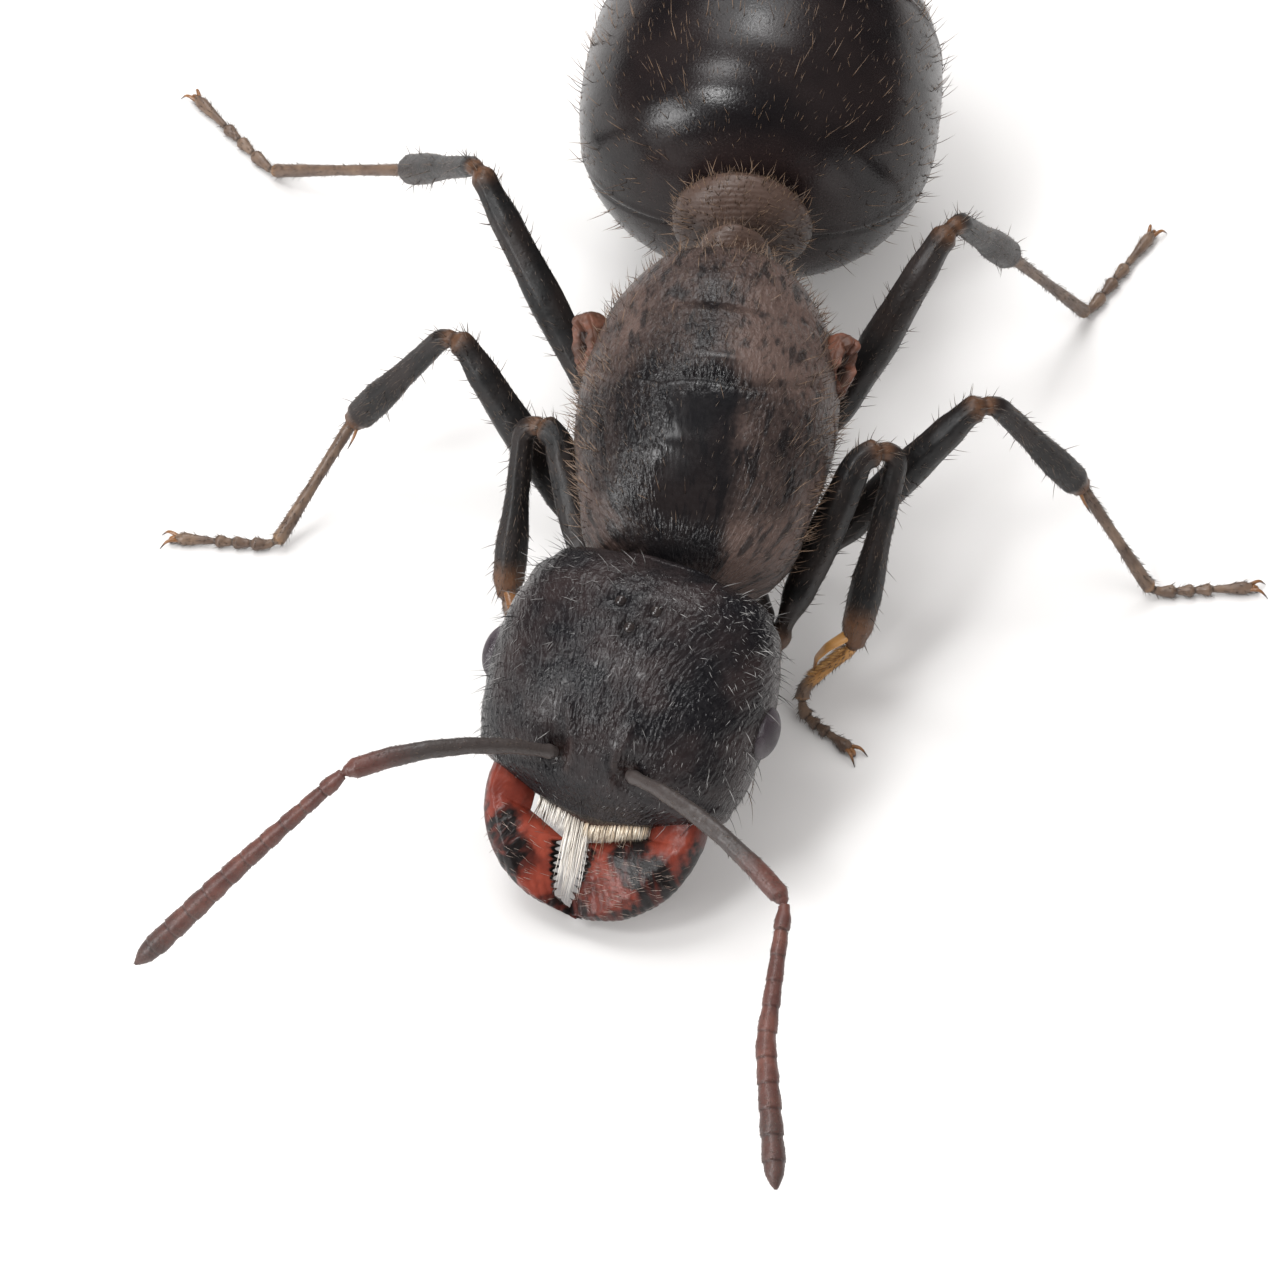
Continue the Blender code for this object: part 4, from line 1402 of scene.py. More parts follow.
@dataclass
class Jaw:
    """A broad curved mandible with a row of teeth on its inner edge."""

    head: Matrix
    side: float
    inner: tuple[Point, ...]      # share along the blade, x and y
    patch: Route                  # middle line of its black mottle
    hinge: Span = (0.08, -1.50)
    reach: float = 1.36
    drop: float = 0.36
    thick: float = 0.25
    teeth: int = 10
    tooth: float = 0.105
    tooth_start: float = 0.34
    inset: float = 0.015

    def _teeth(self, u: Array) -> Array:
        """How far the inner edge falls back between the points of the teeth.

        Args:
            u: shares of the way along the blade.

        Returns:
            The depths.
        """
        run = clamp((u - self.tooth_start) / (1.0 - self.tooth_start)) ** 0.9
        phase = run * self.teeth
        saw = np.abs((phase % 1.0) - 0.42)
        saw = np.minimum(saw / 0.42, 1.0) ** 0.85
        return self.tooth * saw * ramp(run, 0.0, 0.06) * (0.75 + 0.35 * run)

    def skin(self) -> Skin:
        """The blade, in the ant's frame.

        Returns:
            One closed skin.
        """
        rows, columns = 300, 76
        u = np.linspace(0.0, 1.0, rows)[:, None]
        swing = np.radians(-8.0 + 97.0 * u)
        reach = self.reach - self.inset
        outer = np.stack((self.hinge[0] + reach * np.cos(swing),
                          self.hinge[1] - reach * np.sin(swing)), axis=-1)
        shares, across, ahead = zip(*self.inner)
        inner = np.stack((np.interp(u, shares, across), np.interp(u, shares, ahead)), axis=-1)
        outer[..., 0] += (inner[-1, :, 0] - 0.02) * ramp(u, 0.80, 1.0)
        angle = TURN * np.arange(columns) / columns
        towards = unit(outer - inner)
        edge = ramp(np.cos(angle), 0.62, 1.0)[None, :]
        middle = (outer + inner) / 2.0
        arm = (inner - outer) / 2.0
        flat = middle + arm * np.cos(angle)[None, :, None]
        flat = flat + towards * (self._teeth(u) * edge)[..., None]
        thick = self.thick * (1.0 - 0.62 * u * u)
        wedge = 1.0 - 0.42 * np.cos(angle)
        level = -0.10 - self.drop * u * u
        z = level + thick * np.sin(angle) * wedge * (1.0 - 0.45 * edge)
        local = np.stack((self.side * flat[..., 0], flat[..., 1], z), axis=-1)
        own = stacked(u, angle[None, :], z - level)
        skin = Skin(local, own)
        self._dress(skin, local)
        skin.placed(self.head)
        return skin

    def _dress(self, skin: Skin, local: Array) -> None:
        """Long shallow furrows down the blade, black teeth and black mottles.

        Args:
            skin: the blade.
            local: its points in the head's frame.
        """
        u, angle = skin.own[..., 0], skin.own[..., 1]
        grain = Grain(31)
        across = np.cos(angle)
        above = ramp(np.sin(angle), 0.0, 0.5)
        lines = np.abs(np.sin(math.pi * (local[..., 0] * 0.7 + 0.35 * local[..., 1]
                                         + 0.03 * grain.at(local, 0.2)) / 0.075))
        skin.raise_by(0.008 * (lines - 0.6) * ramp(u, 0.1, 0.4) * (1.0 - ramp(across, 0.6, 0.8))
                      + 0.012 * grain.at(local, 0.25) + 0.004 * grain.at(local, 0.07)
                      + 0.02 * bell(across + 0.55, 0.18) * above)
        course = local[..., 0] * 0.7 * self.side + 0.35 * local[..., 1]
        torn = (grain.layered(local, 0.24)
                + 0.5 * grain.at(np.stack((course, 0.3 * local[..., 1], 0.0 * course), -1), 0.05))
        reach = np.abs(local[..., 0])
        gap = gap_to(self.patch, reach, local[..., 1])
        patch = 0.85 * ramp(bell(gap, 0.21) + 0.34 * torn, 0.10, 1.0) * above
        teeth = ramp(across, 0.66, 0.93) * ramp(u, self.tooth_start, self.tooth_start + 0.05)
        # its last term darkens her left blade all over, painted shade for the blade on the side
        # away from the lamps
        skin.marks["mark"] = clamp(
            patch + 0.90 * teeth + 0.20 * ramp(u, 0.25, 0.75)
            + 0.58 * ramp(-across + 0.2 * torn, 0.60, 1.0) + ramp(u, 0.80, 0.91)
            + 0.34 * (self.side > 0.0))
        # painted shade at the root of the blade, where it runs in under the head
        skin.marks["hollow_shade"] = 0.2 * (1.0 - ramp(u, 0.0, 0.10))
        skin.marks["across"] = course
        skin.marks["along"] = local[..., 1]

    def coat(self, skin: Skin, coat: Coat) -> None:
        """Thin hairs that lie across the blade towards its teeth, thickest on her left.

        Args:
            skin: the blade.
            coat: takes the hairs.
        """
        coat.cover(skin, 160 if self.side > 0.0 else 70,
                   Hair((0.09, 0.22), 0.0034, (5.0, 22.0), 16.0, 3, 0.2),
                   lambda u, angle, height: ramp(np.sin(angle), -0.2, 0.4)
                   * between(u, 0.25, 0.85, 0.10) * (np.cos(angle) < 0.55),
                   self._towards_teeth)

    @staticmethod
    def _towards_teeth(roots: Roots) -> Array:
        """The direction across the blade, on either face of it.

        Args:
            roots: where hairs grow.

        Returns:
            One direction for each.
        """
        angle = roots.own[:, 1]
        inward = np.where(np.cos(angle + 0.05) > np.cos(angle), 1.0, -1.0)
        return unit(0.5 * roots.along + inward[:, None] * roots.around)


# ---------------- the feelers

@dataclass
class Feeler:
    """A bent antenna: a long scape, then a flagellum of eleven joints."""

    socket: Vector
    elbow: Point
    tip: Point
    sway: float                   # how far its flagellum bows to her right
    cell: Cell
    bow: float = 0.28             # how far its scape bows up
    bend: float = 0.30
    joints: int = 11

    SCAPE = ((0.0, 0.066), (0.035, 0.092), (0.075, 0.082), (0.12, 0.082), (0.30, 0.098),
             (0.62, 0.112), (0.86, 0.128), (0.955, 0.126), (0.993, 0.080), (1.012, 0.042))
    NECK = 1.012                    # stage of the thin joint past the elbow
    SLENDER, STOUT = 0.090, 0.143   # radius of the flagellum near the elbow and near its tip

    def _girth(self, stage: Array) -> Array:
        """Radius along the feeler: stage 1 is the elbow, 2 the tip.

        Args:
            stage: where it is read.

        Returns:
            The radii.
        """
        run = self._run(stage)
        body = self.SLENDER + (self.STOUT - self.SLENDER) * ramp(run, 0.0, 0.82)
        phase = (run * self.joints) % 1.0
        number = np.floor(run * self.joints)
        waist = np.where(number == 0, 0.72, 0.91)
        bead = waist + (1.0 - waist) * eased(phase, ((0.0, 0.0), (0.62, 1.0), (0.90, 1.0),
                                                     (1.0, 0.0)))
        bead = np.where(number == 0, bead * 1.10, bead)
        closing = np.sqrt(np.clip(1.0 - ramp(run, 0.90, 1.01) ** 1.1, 0.02, 1.0))
        return np.where(stage < self.NECK, eased(stage, self.SCAPE), body * bead * closing)

    def _run(self, stage: Array) -> Array:
        """Share of the way down the flagellum."""
        return clamp(stage - self.NECK) / (2.0 - self.NECK)

    def skin(self) -> Skin:
        """The whole feeler.

        Returns:
            One closed skin.
        """
        elbow = Vector(self.elbow)
        arch = [self.socket.lerp(elbow, way) + Vector((0.0, 0.0, 4.0 * self.bow * way
                                                       * (1.0 - way)))
                for way in (0.0, 0.2, 0.4, 0.6, 0.8)]
        sag = (elbow + Vector(self.tip)) / 2.0 - Vector((self.sway, 0.0, 0.0))
        path = Path((*arch, self.elbow, sag, self.tip), self.bend)
        limb = Limb(path, (0.0, path.nearest(self.elbow), path.length))
        skin = limb.skin(0.0, 2.0, 620, 34, self._girth, cell=self.cell)
        stage = skin.own[..., 0]
        grain = Grain(41)
        skin.raise_by(0.0045 * grain.at(skin.points, 0.09) + 0.002 * grain.at(skin.points, 0.03))
        run = self._run(stage)
        groove = bell(((run * self.joints + 0.5) % 1.0) - 0.5, 0.05) * (stage > 1.03)
        grey = 0.95 * (1.0 - ramp(stage, 0.62, 0.97)) + 0.5 * ramp(stage, 1.45, 1.9)
        skin.marks["mark"] = clamp(grey + 0.15 * grain.at(skin.points, 0.3))
        # painted shade in the grooves between the joints of the flagellum
        skin.marks["hollow_shade"] = clamp(0.55 * groove * (run < 0.97))
        return skin

    def coat(self, skin: Skin, coat: Coat) -> None:
        """Dense down on the flagellum and stiffer hairs on the scape.

        Args:
            skin: the feeler.
            coat: takes the hairs.
        """
        coat.cover(skin, 2600, Hair((0.025, 0.05), 0.0030, (12.0, 30.0), 10.0),
                   lambda stage, angle, travel: stage > 1.05)
        coat.cover(skin, 420, Hair((0.04, 0.08), 0.0036, (12.0, 32.0), 12.0),
                   lambda stage, angle, travel: between(stage, 0.1, 0.98, 0.02))


# ---------------- trunk, waist and gaster

@dataclass
class Trunk:
    """Thorax and propodeum as one skin, with its sutures, spiracles and wing roots."""

    rows: int = 196
    columns: int = 400
    stripe: float = 0.070
    stub_place: Point = (1.52, 3.35, 3.68)     # of the wing root on her left
    scale_place: Point = (1.47, 2.72, 3.66)    # of the small smooth scale in front of it

    SEAM = 0.04
    PROTHORAX_END = 1.20
    OUTLINE = (
        (-0.10, 2.78, 0.42, 0.36, 0.36), (0.30, 2.78, 0.50, 0.42, 0.42),
        (0.42, 2.88, 0.96, 0.60, 0.85), (0.70, 3.02, 1.30, 0.86, 1.28),
        (1.15, 3.20, 1.44, 1.12, 1.66), (1.75, 3.28, 1.57, 1.30, 1.84),
        (2.50, 3.32, 1.66, 1.36, 1.92), (3.30, 3.32, 1.61, 1.34, 1.92),
        (3.95, 3.28, 1.42, 1.38, 1.88), (4.50, 3.18, 1.12, 1.30, 1.72),
        (4.95, 3.00, 0.86, 0.92, 1.36), (5.25, 2.80, 0.60, 0.46, 0.84))
    COLLAR = ((0.0, 0.62), (0.25, 0.63), (0.50, 0.70), (0.72, 0.84), (0.92, 1.08),
              (1.10, 1.45), (1.28, 1.95), (1.42, 2.55))
    CROSS_SEAM = ((0.0, 2.16), (0.55, 2.10), (1.05, 2.30), (1.40, 2.62))
    PLATE_END = ((0.0, 3.42), (0.55, 3.36), (1.10, 3.18), (1.45, 3.05))
    BAND_END = ((0.0, 3.70), (0.60, 3.66), (1.15, 3.52), (1.50, 3.45))
    SCUTUM_LINE = ((0.72, 1.35), (0.66, 2.02))
    SIDE_SEAMS = (((2.55, 3.75), (2.20, 3.05), (2.35, 2.40), (2.05, 1.75)),
                  ((3.35, 3.60), (3.25, 2.90), (3.00, 2.20), (2.95, 1.70)),
                  ((1.55, 3.60), (1.35, 2.80), (1.45, 2.00)),
                  ((2.25, 2.70), (2.90, 2.60)))

    def skin(self) -> Skin:
        """The trunk, in the ant's frame.

        Returns:
            One closed skin.
        """
        loft = Loft(self.OUTLINE, 2.3, 1.6, 0.03)
        skin = loft.skin(-0.10, 5.25, self.rows, self.columns, (0.03, 0.10))
        x, y, z = np.moveaxis(skin.own, -1, 0)
        reach = np.abs(x)
        grain = Grain(51)
        back = ramp(z, 3.45, 3.85)
        flank = (1.0 - ramp(z, 3.55, 3.80)) * ramp(reach, 0.35, 0.6)
        collar = bell(gap_to(self.COLLAR, reach, y), 0.034) * back
        cross = bell(gap_to(self.CROSS_SEAM, reach, y), 0.050) * back
        ends = (bell(gap_to(self.PLATE_END, reach, y), 0.036)
                + bell(gap_to(self.BAND_END, reach, y), 0.034)) * back
        line = bell(gap_to(self.SCUTUM_LINE, reach, y), 0.020) * back
        seams = sum(bell(gap_to(route, y, z), 0.038) for route in self.SIDE_SEAMS) * flank
        spiracle = np.hypot((y - 4.35) / 0.8, z - 3.25)
        hole = bell(spiracle, 0.060) * ramp(reach, 0.5, 0.7)
        height = (-0.007 * collar - 0.036 * cross - 0.004 * ends - 0.004 * line
                  - 0.055 * seams - 0.08 * hole
                  + 0.025 * bell(spiracle - 0.12, 0.04) * ramp(reach, 0.5, 0.7))
        plate = between(y, 2.26, 3.30, 0.12) * back
        height += 0.065 * plate * (1.0 - ramp(np.abs(x - 0.20), 0.25, 1.10))
        height -= 0.008 * between(y, 3.46, 3.66, 0.05) * back
        height += 0.016 * grain.at(skin.own, 0.9) + 0.006 * grain.at(skin.own, 0.26)
        height += 0.034 * bell(x - 0.22, 0.34) * bell(y - 2.43, 0.10)
        skin.raise_by(height + self._stripes(skin.own, grain, back))
        torn = 0.12 * grain.layered(skin.own, 0.16)
        bald = between(x + torn, -0.44, 0.60, 0.16) * (1.0 - ramp(y + torn, 1.85, 2.15))
        knob = bell(x - 0.22, 0.32) * bell(y - 2.42, 0.14)
        skin.marks["calm"] = clamp(0.96 * bald + knob) * back
        # painted shade in the collar, the cross seam, the plate ends, the spiracles and the side
        # seams
        skin.marks["hollow_shade"] = clamp(0.06 * collar + 0.3 * cross + 0.1 * ends + 0.8 * hole
                                     + 0.6 * seams)
        skin.marks["across"] = np.arctan2(x, z - 2.4) * 1.75 + 0.04 * grain.at(skin.own, 0.5)
        skin.marks["along"] = skin.travel()[:, None] + 0.0 * y
        tan = (0.50 * ramp(y, 2.0, 2.6) + 0.30 * ramp(y, 3.6, 4.6)
               + 0.50 * ramp(x, 0.20, 0.65) + 0.30 * ramp(-x, 0.65, 1.1)
               + 0.4 * flank * ramp(z, 2.4, 3.3) + 0.5 * (1.0 - ramp(y, 0.15, 0.5)))
        # painted reflection: a darker stripe down the middle of the scutellum, where the dark
        # room is mirrored
        tan -= 0.22 * bell(x + 0.05, 0.16) * ramp(y, 2.3, 2.6)
        skin.marks["mark"] = clamp(tan * (0.80 + 0.45 * grain.layered(skin.own, 0.5)))
        return skin

    def _stripes(self, own: Array, grain: Grain, back: Array) -> Array:
        """Fine ridges: lengthwise in front, arched across the propodeum and the flanks.

        Args:
            own: places on the trunk.
            grain: noise that they waver by.
            back: 1 on the back and 0 on the flanks.

        Returns:
            One height for each place.
        """
        x, y, z = np.moveaxis(own, -1, 0)
        wander = 0.060 * grain.at(own, 0.45) + 0.015 * grain.at(own, 0.13)
        girth = np.arctan2(x, z - 2.4) * 1.75
        along = np.abs(np.sin(math.pi * (girth / (1.0 + 0.25 * ramp(y, 0.8, 2.2)) + wander)
                              / self.stripe))
        across = np.abs(np.sin(math.pi * (y + 0.55 * np.abs(x) + wander) / self.stripe))
        rear = ramp(y, 3.3, 3.8)
        sides = (1.0 - back) * ramp(y, 1.0, 1.6)
        mix = clamp(rear + 0.8 * sides)
        calm = bell(x - 0.05, 0.45) * (1.0 - ramp(y, 1.9, 2.3))
        strength = (0.0055 + 0.0045 * rear + 0.003 * sides) * (1.0 - 0.97 * calm)
        faint = 0.5 + 0.5 * ramp(grain.at(own, 0.35), -0.3, 0.4)
        return strength * faint * ((1.0 - mix) * (along ** 0.8 - 0.55)
                                   + mix * (across ** 0.8 - 0.55))

    def stub(self, side: float) -> Shape:
        """The torn root of a wing: a low collar round a pit, with painted shade inside it, and a
        scale in front.

        Args:
            side: 1 for her left, -1 for her right.

        Returns:
            Its faces.
        """
        rows, columns = 40, 96
        grain = Grain(61)
        angle = TURN * np.arange(columns) / columns
        u = np.linspace(0.0, 1.0, rows)[:, None]
        scale = eased(u, ((0.0, 0.90), (0.25, 1.0), (0.55, 0.92), (0.72, 0.72), (0.86, 0.42),
                          (1.0, 0.06)))
        lift = eased(u, ((0.0, -0.16), (0.45, 0.10), (0.72, 0.21), (0.88, 0.10), (1.0, 0.06)))
        ragged = 0.06 * grain.at(stacked(np.cos(angle), np.sin(angle), side + 0.0 * u), 0.35)
        points = stacked(0.22 * scale * np.cos(angle), 0.46 * scale * np.sin(angle),
                         lift + ragged * ramp(u, 0.4, 0.7))
        skin = Skin(points)
        skin.raise_by(0.020 * grain.at(points, 0.12) + 0.008 * grain.at(points, 0.04))
        # painted shade: the inner wall of the collar, down into its pit, takes the dark third
        # tone
        skin.marks["mark"] = clamp(ramp(u, 0.74, 0.95) + 0.2 * grain.at(points, 0.1))
        skin.placed(self._stub_frame(side, self.stub_place))
        scale = dome((0.13, 0.20, 0.09), 0.6, 16, 40)
        scale.placed(self._stub_frame(side, self.scale_place))
        return Shape.joined([skin.shape(), scale.shape()])

    @staticmethod
    def _stub_frame(side: float, place: Point) -> Matrix:
        """Stand a wing root on the shoulder, facing out and up."""
        turn = spin(z=-10.0 * side) @ spin(x=24.0) @ spin(y=58.0 * side)
        return Matrix.Translation((side * place[0], *place[1:])) @ turn.to_4x4()

    def build(self, bench: Bench) -> None:
        """Make the trunk, its wing roots and its coat.

        Args:
            bench: writes the pieces.
        """
        skin = self.skin()
        bench.add("trunk_skin", skin.shape(), Finish.TRUNK, "trunk_shell",
                  ("prothorax", "mesothorax", "metathorax", "propodeum"))
        for name, side in SIDES:
            bench.add("wing_root_" + name, self.stub(side), Finish.STUB, "wing_root",
                      ("wing_stub_" + name,))
        down, tall = Coat(52), Coat(53)
        down.cover(skin, 6000, Hair((0.06, 0.14), 0.0042, (6.0, 24.0), 12.0),
                   lambda x, y, z: (y > 0.45) * (1.0 - 0.9 * bell(x, 0.5) * (y < 2.2)),
                   self._lie)
        bench.add("coat_trunk_down", down.shape(), Finish.DARK_HAIR, "trunk_shell")
        tall.cover(skin, 1500, Hair((0.16, 0.36), 0.0056, (30.0, 70.0), 30.0, 3, 0.35),
                   lambda x, y, z: (0.04 + 1.2 * ramp(y, 3.4, 4.4)
                                    + 1.4 * ramp(np.abs(x), 1.0, 1.4))
                   * (y > 0.5) * (z > 2.2), self._lie)
        bench.add("coat_trunk_tall", tall.shape(), Finish.GOLD_HAIR, "trunk_shell")

    @staticmethod
    def _lie(roots: Roots) -> Array:
        """Hair runs back along the trunk and fans out to its sides."""
        x = roots.own[:, 0]
        return unit(roots.along - 0.45 * np.tanh(1.5 * x)[:, None] * roots.around)


@dataclass
class Waist:
    """The two knots between trunk and gaster."""

    PETIOLE = ((4.95, 2.62, 0.30, 0.26, 0.26), (5.38, 2.64, 0.36, 0.34, 0.32),
               (5.58, 2.72, 0.50, 0.72, 0.42), (5.74, 2.76, 0.55, 0.84, 0.46),
               (5.94, 2.74, 0.48, 0.52, 0.42), (6.06, 2.70, 0.38, 0.32, 0.36))
    POSTPETIOLE = ((6.10, 2.70, 0.42, 0.38, 0.38), (6.24, 2.72, 0.72, 0.70, 0.56),
                   (6.48, 2.74, 0.92, 0.94, 0.68), (6.74, 2.72, 0.84, 0.78, 0.66),
                   (6.96, 2.66, 0.62, 0.56, 0.56), (7.20, 2.60, 0.50, 0.44, 0.44))

    def _knot(self, outline: tuple[tuple[float, ...], ...], first: float, last: float,
              seed: int, cell: Cell) -> Skin:
        """One knot with fine ridges across it.

        Args:
            outline: its stations.
            first: where it starts.
            last: where it ends.
            seed: picks its noise.
            cell: its part of the map.

        Returns:
            One closed skin.
        """
        skin = Loft(outline, 2.0, 2.0, 0.025).skin(first, last, 110, 168, (0.10, 0.06), cell)
        grain = Grain(seed)
        y = skin.own[..., 1]
        lines = np.abs(np.sin(math.pi * (y + 0.4 * skin.own[..., 2]
                                         + 0.04 * grain.at(skin.own, 0.3)) / 0.062))
        skin.raise_by(0.020 * grain.at(skin.own, 0.5) + 0.009 * grain.at(skin.own, 0.16)
                      + 0.007 * (lines ** 0.8 - 0.5))
        top = ramp(skin.own[..., 2], 2.9, 3.5)
        skin.marks["mark"] = clamp(0.35 + 0.45 * top + 0.3 * grain.layered(skin.own, 0.4))
        return skin

    def build(self, bench: Bench) -> None:
        """Make both knots and their coat.

        Args:
            bench: writes the pieces.
        """
        petiole = self._knot(self.PETIOLE, 4.98, 6.06, 71, HALVES[0])
        knot = self._knot(self.POSTPETIOLE, 6.08, 7.10, 72, HALVES[1])
        bench.add("petiole_knot", petiole.shape(), Finish.WAIST, "waist", ("petiole",))
        bench.add("postpetiole_knot", knot.shape(), Finish.WAIST, "waist", ("postpetiole",))
        coat = Coat(73)
        for skin, low, tall in ((petiole, 700, 90), (knot, 1500, 190)):
            coat.cover(skin, low, Hair((0.07, 0.15), 0.0048, (12.0, 40.0), 16.0))
            coat.cover(skin, tall, Hair((0.18, 0.36), 0.0062, (45.0, 80.0), 30.0, 3, 0.4),
                       lambda x, y, z: z > 2.7)
        bench.add("coat_waist", coat.shape(), Finish.GOLD_HAIR, "waist")


@dataclass
class Gaster:
    """The hind body: four plates, each tucked under the rim of the one before it."""

    tuck: float = 0.22            # how far a plate runs on under its neighbour
    rim: float = 0.016            # how far a plate's hind rim stands out
    inset: float = 0.03

    OUTLINE = (
        (6.84, 2.57, 0.853, 0.767, 0.746), (6.90, 2.57, 1.160, 1.043, 1.014),
        (7.00, 2.57, 1.451, 1.304, 1.268), (7.15, 2.57, 1.719, 1.546, 1.502),
        (7.35, 2.57, 1.946, 1.750, 1.701), (7.60, 2.57, 2.125, 1.911, 1.857),
        (7.90, 2.57, 2.254, 2.026, 1.969), (8.40, 2.57, 2.349, 2.112, 2.053),
        (9.00, 2.57, 2.368, 2.129, 2.070), (10.0, 2.56, 2.26, 2.02, 1.98),
        (10.9, 2.50, 1.86, 1.66, 1.70), (11.5, 2.40, 1.32, 1.20, 1.26),
        (11.85, 2.30, 0.78, 0.72, 0.76), (12.0, 2.24, 0.34, 0.30, 0.34))
    CUTS = (6.84, 9.85, 10.85, 11.45, 12.0)
    LAST = 3                      # number of the last plate
    ROWS = (150, 70, 56, 60)
    DOWN = (2600, 800, 450, 350)  # short hairs on each plate
    TALL = (420, 160, 110, 150)   # standing hairs on each plate

    def plate(self, number: int) -> Skin:
        """One ring-shaped plate, counted from 0 at the waist.

        Args:
            number: which of them.

        Returns:
            One closed skin.
        """
        first, last = self.CUTS[number], self.CUTS[number + 1]
        start = first if number == 0 else first - self.tuck
        quarter = number / 4.0
        loft = Loft(self.OUTLINE, 2.05, 2.05, self.inset)
        skin = loft.skin(start, last, self.ROWS[number], 220,
                         (0.06, 0.05 if number == self.LAST else 0.02),
                         (0.0, quarter + 0.005, 1.0, quarter + 0.245))
        x, y, z = np.moveaxis(skin.own, -1, 0)
        grain = Grain(81 + number)
        height = 0.004 * grain.at(skin.own, 1.6) + 0.0012 * grain.at(skin.own, 0.2)
        if number > 0:
            height -= 0.075 * (1.0 - ramp(y, first - 0.02, first + 0.30))
        if number < self.LAST:
            height += self.rim * bell(y - last + 0.03, 0.07)
        edge = 2.20 + 0.10 * np.sin(2.0 * y)
        flap = bell(z - edge, 0.030) * ramp(np.abs(x), 0.5, 0.9)
        height += -0.030 * flap + 0.016 * bell(z - edge - 0.09, 0.06) * ramp(np.abs(x), 0.5, 0.9)
        skin.raise_by(height)
        # painted shade in the crease along each side, where the plate's edge turns under
        skin.marks["hollow_shade"] = clamp(0.7 * flap)
        near_rim = ramp(y, last - 0.16, last - 0.02) if number < self.LAST else 0.0 * y
        skin.marks["mark"] = clamp(
            0.45 * near_rim + 0.40 * (1.0 - ramp(y, 6.90, 7.25)) * (number == 0)
            + 0.15 * ramp(grain.layered(skin.own, 0.6), 0.1, 0.6))
        return skin

    def build(self, bench: Bench) -> None:
        """Make the plates and their coat.

        Args:
            bench: writes the pieces.
        """
        tall, down = Coat(85), Coat(86)
        for number, (start, last) in enumerate(zip(self.CUTS, self.CUTS[1:])):
            skin = self.plate(number)
            bench.add(f"gaster_plate_{number + 1}", skin.shape(), Finish.GASTER, "gaster",
                      (f"gaster_{number + 1}",))
            down.cover(skin, self.DOWN[number], Hair((0.07, 0.16), 0.0042, (8.0, 26.0), 12.0),
                       lambda x, y, z: y > start + 0.08)
            tall.cover(skin, self.TALL[number],
                       Hair((0.18, 0.40), 0.0062, (35.0, 70.0), 26.0, 3, 0.25),
                       lambda x, y, z: y > start + 0.1)
            if number < self.LAST:
                tall.cover(skin, 150, Hair((0.18, 0.34), 0.0062, (15.0, 40.0), 10.0, 3),
                           lambda x, y, z: between(y, last - 0.14, last - 0.03, 0.02))
        bench.add("coat_gaster_down", down.shape(), Finish.GOLD_HAIR, "gaster")
        bench.add("coat_gaster_tall", tall.shape(), Finish.GOLD_HAIR, "gaster")


# ---------------- the legs

class Pair(Enum):
    """The three pairs of legs, from the head back."""

    FORE = "fore"
    MID = "mid"
    HIND = "hind"


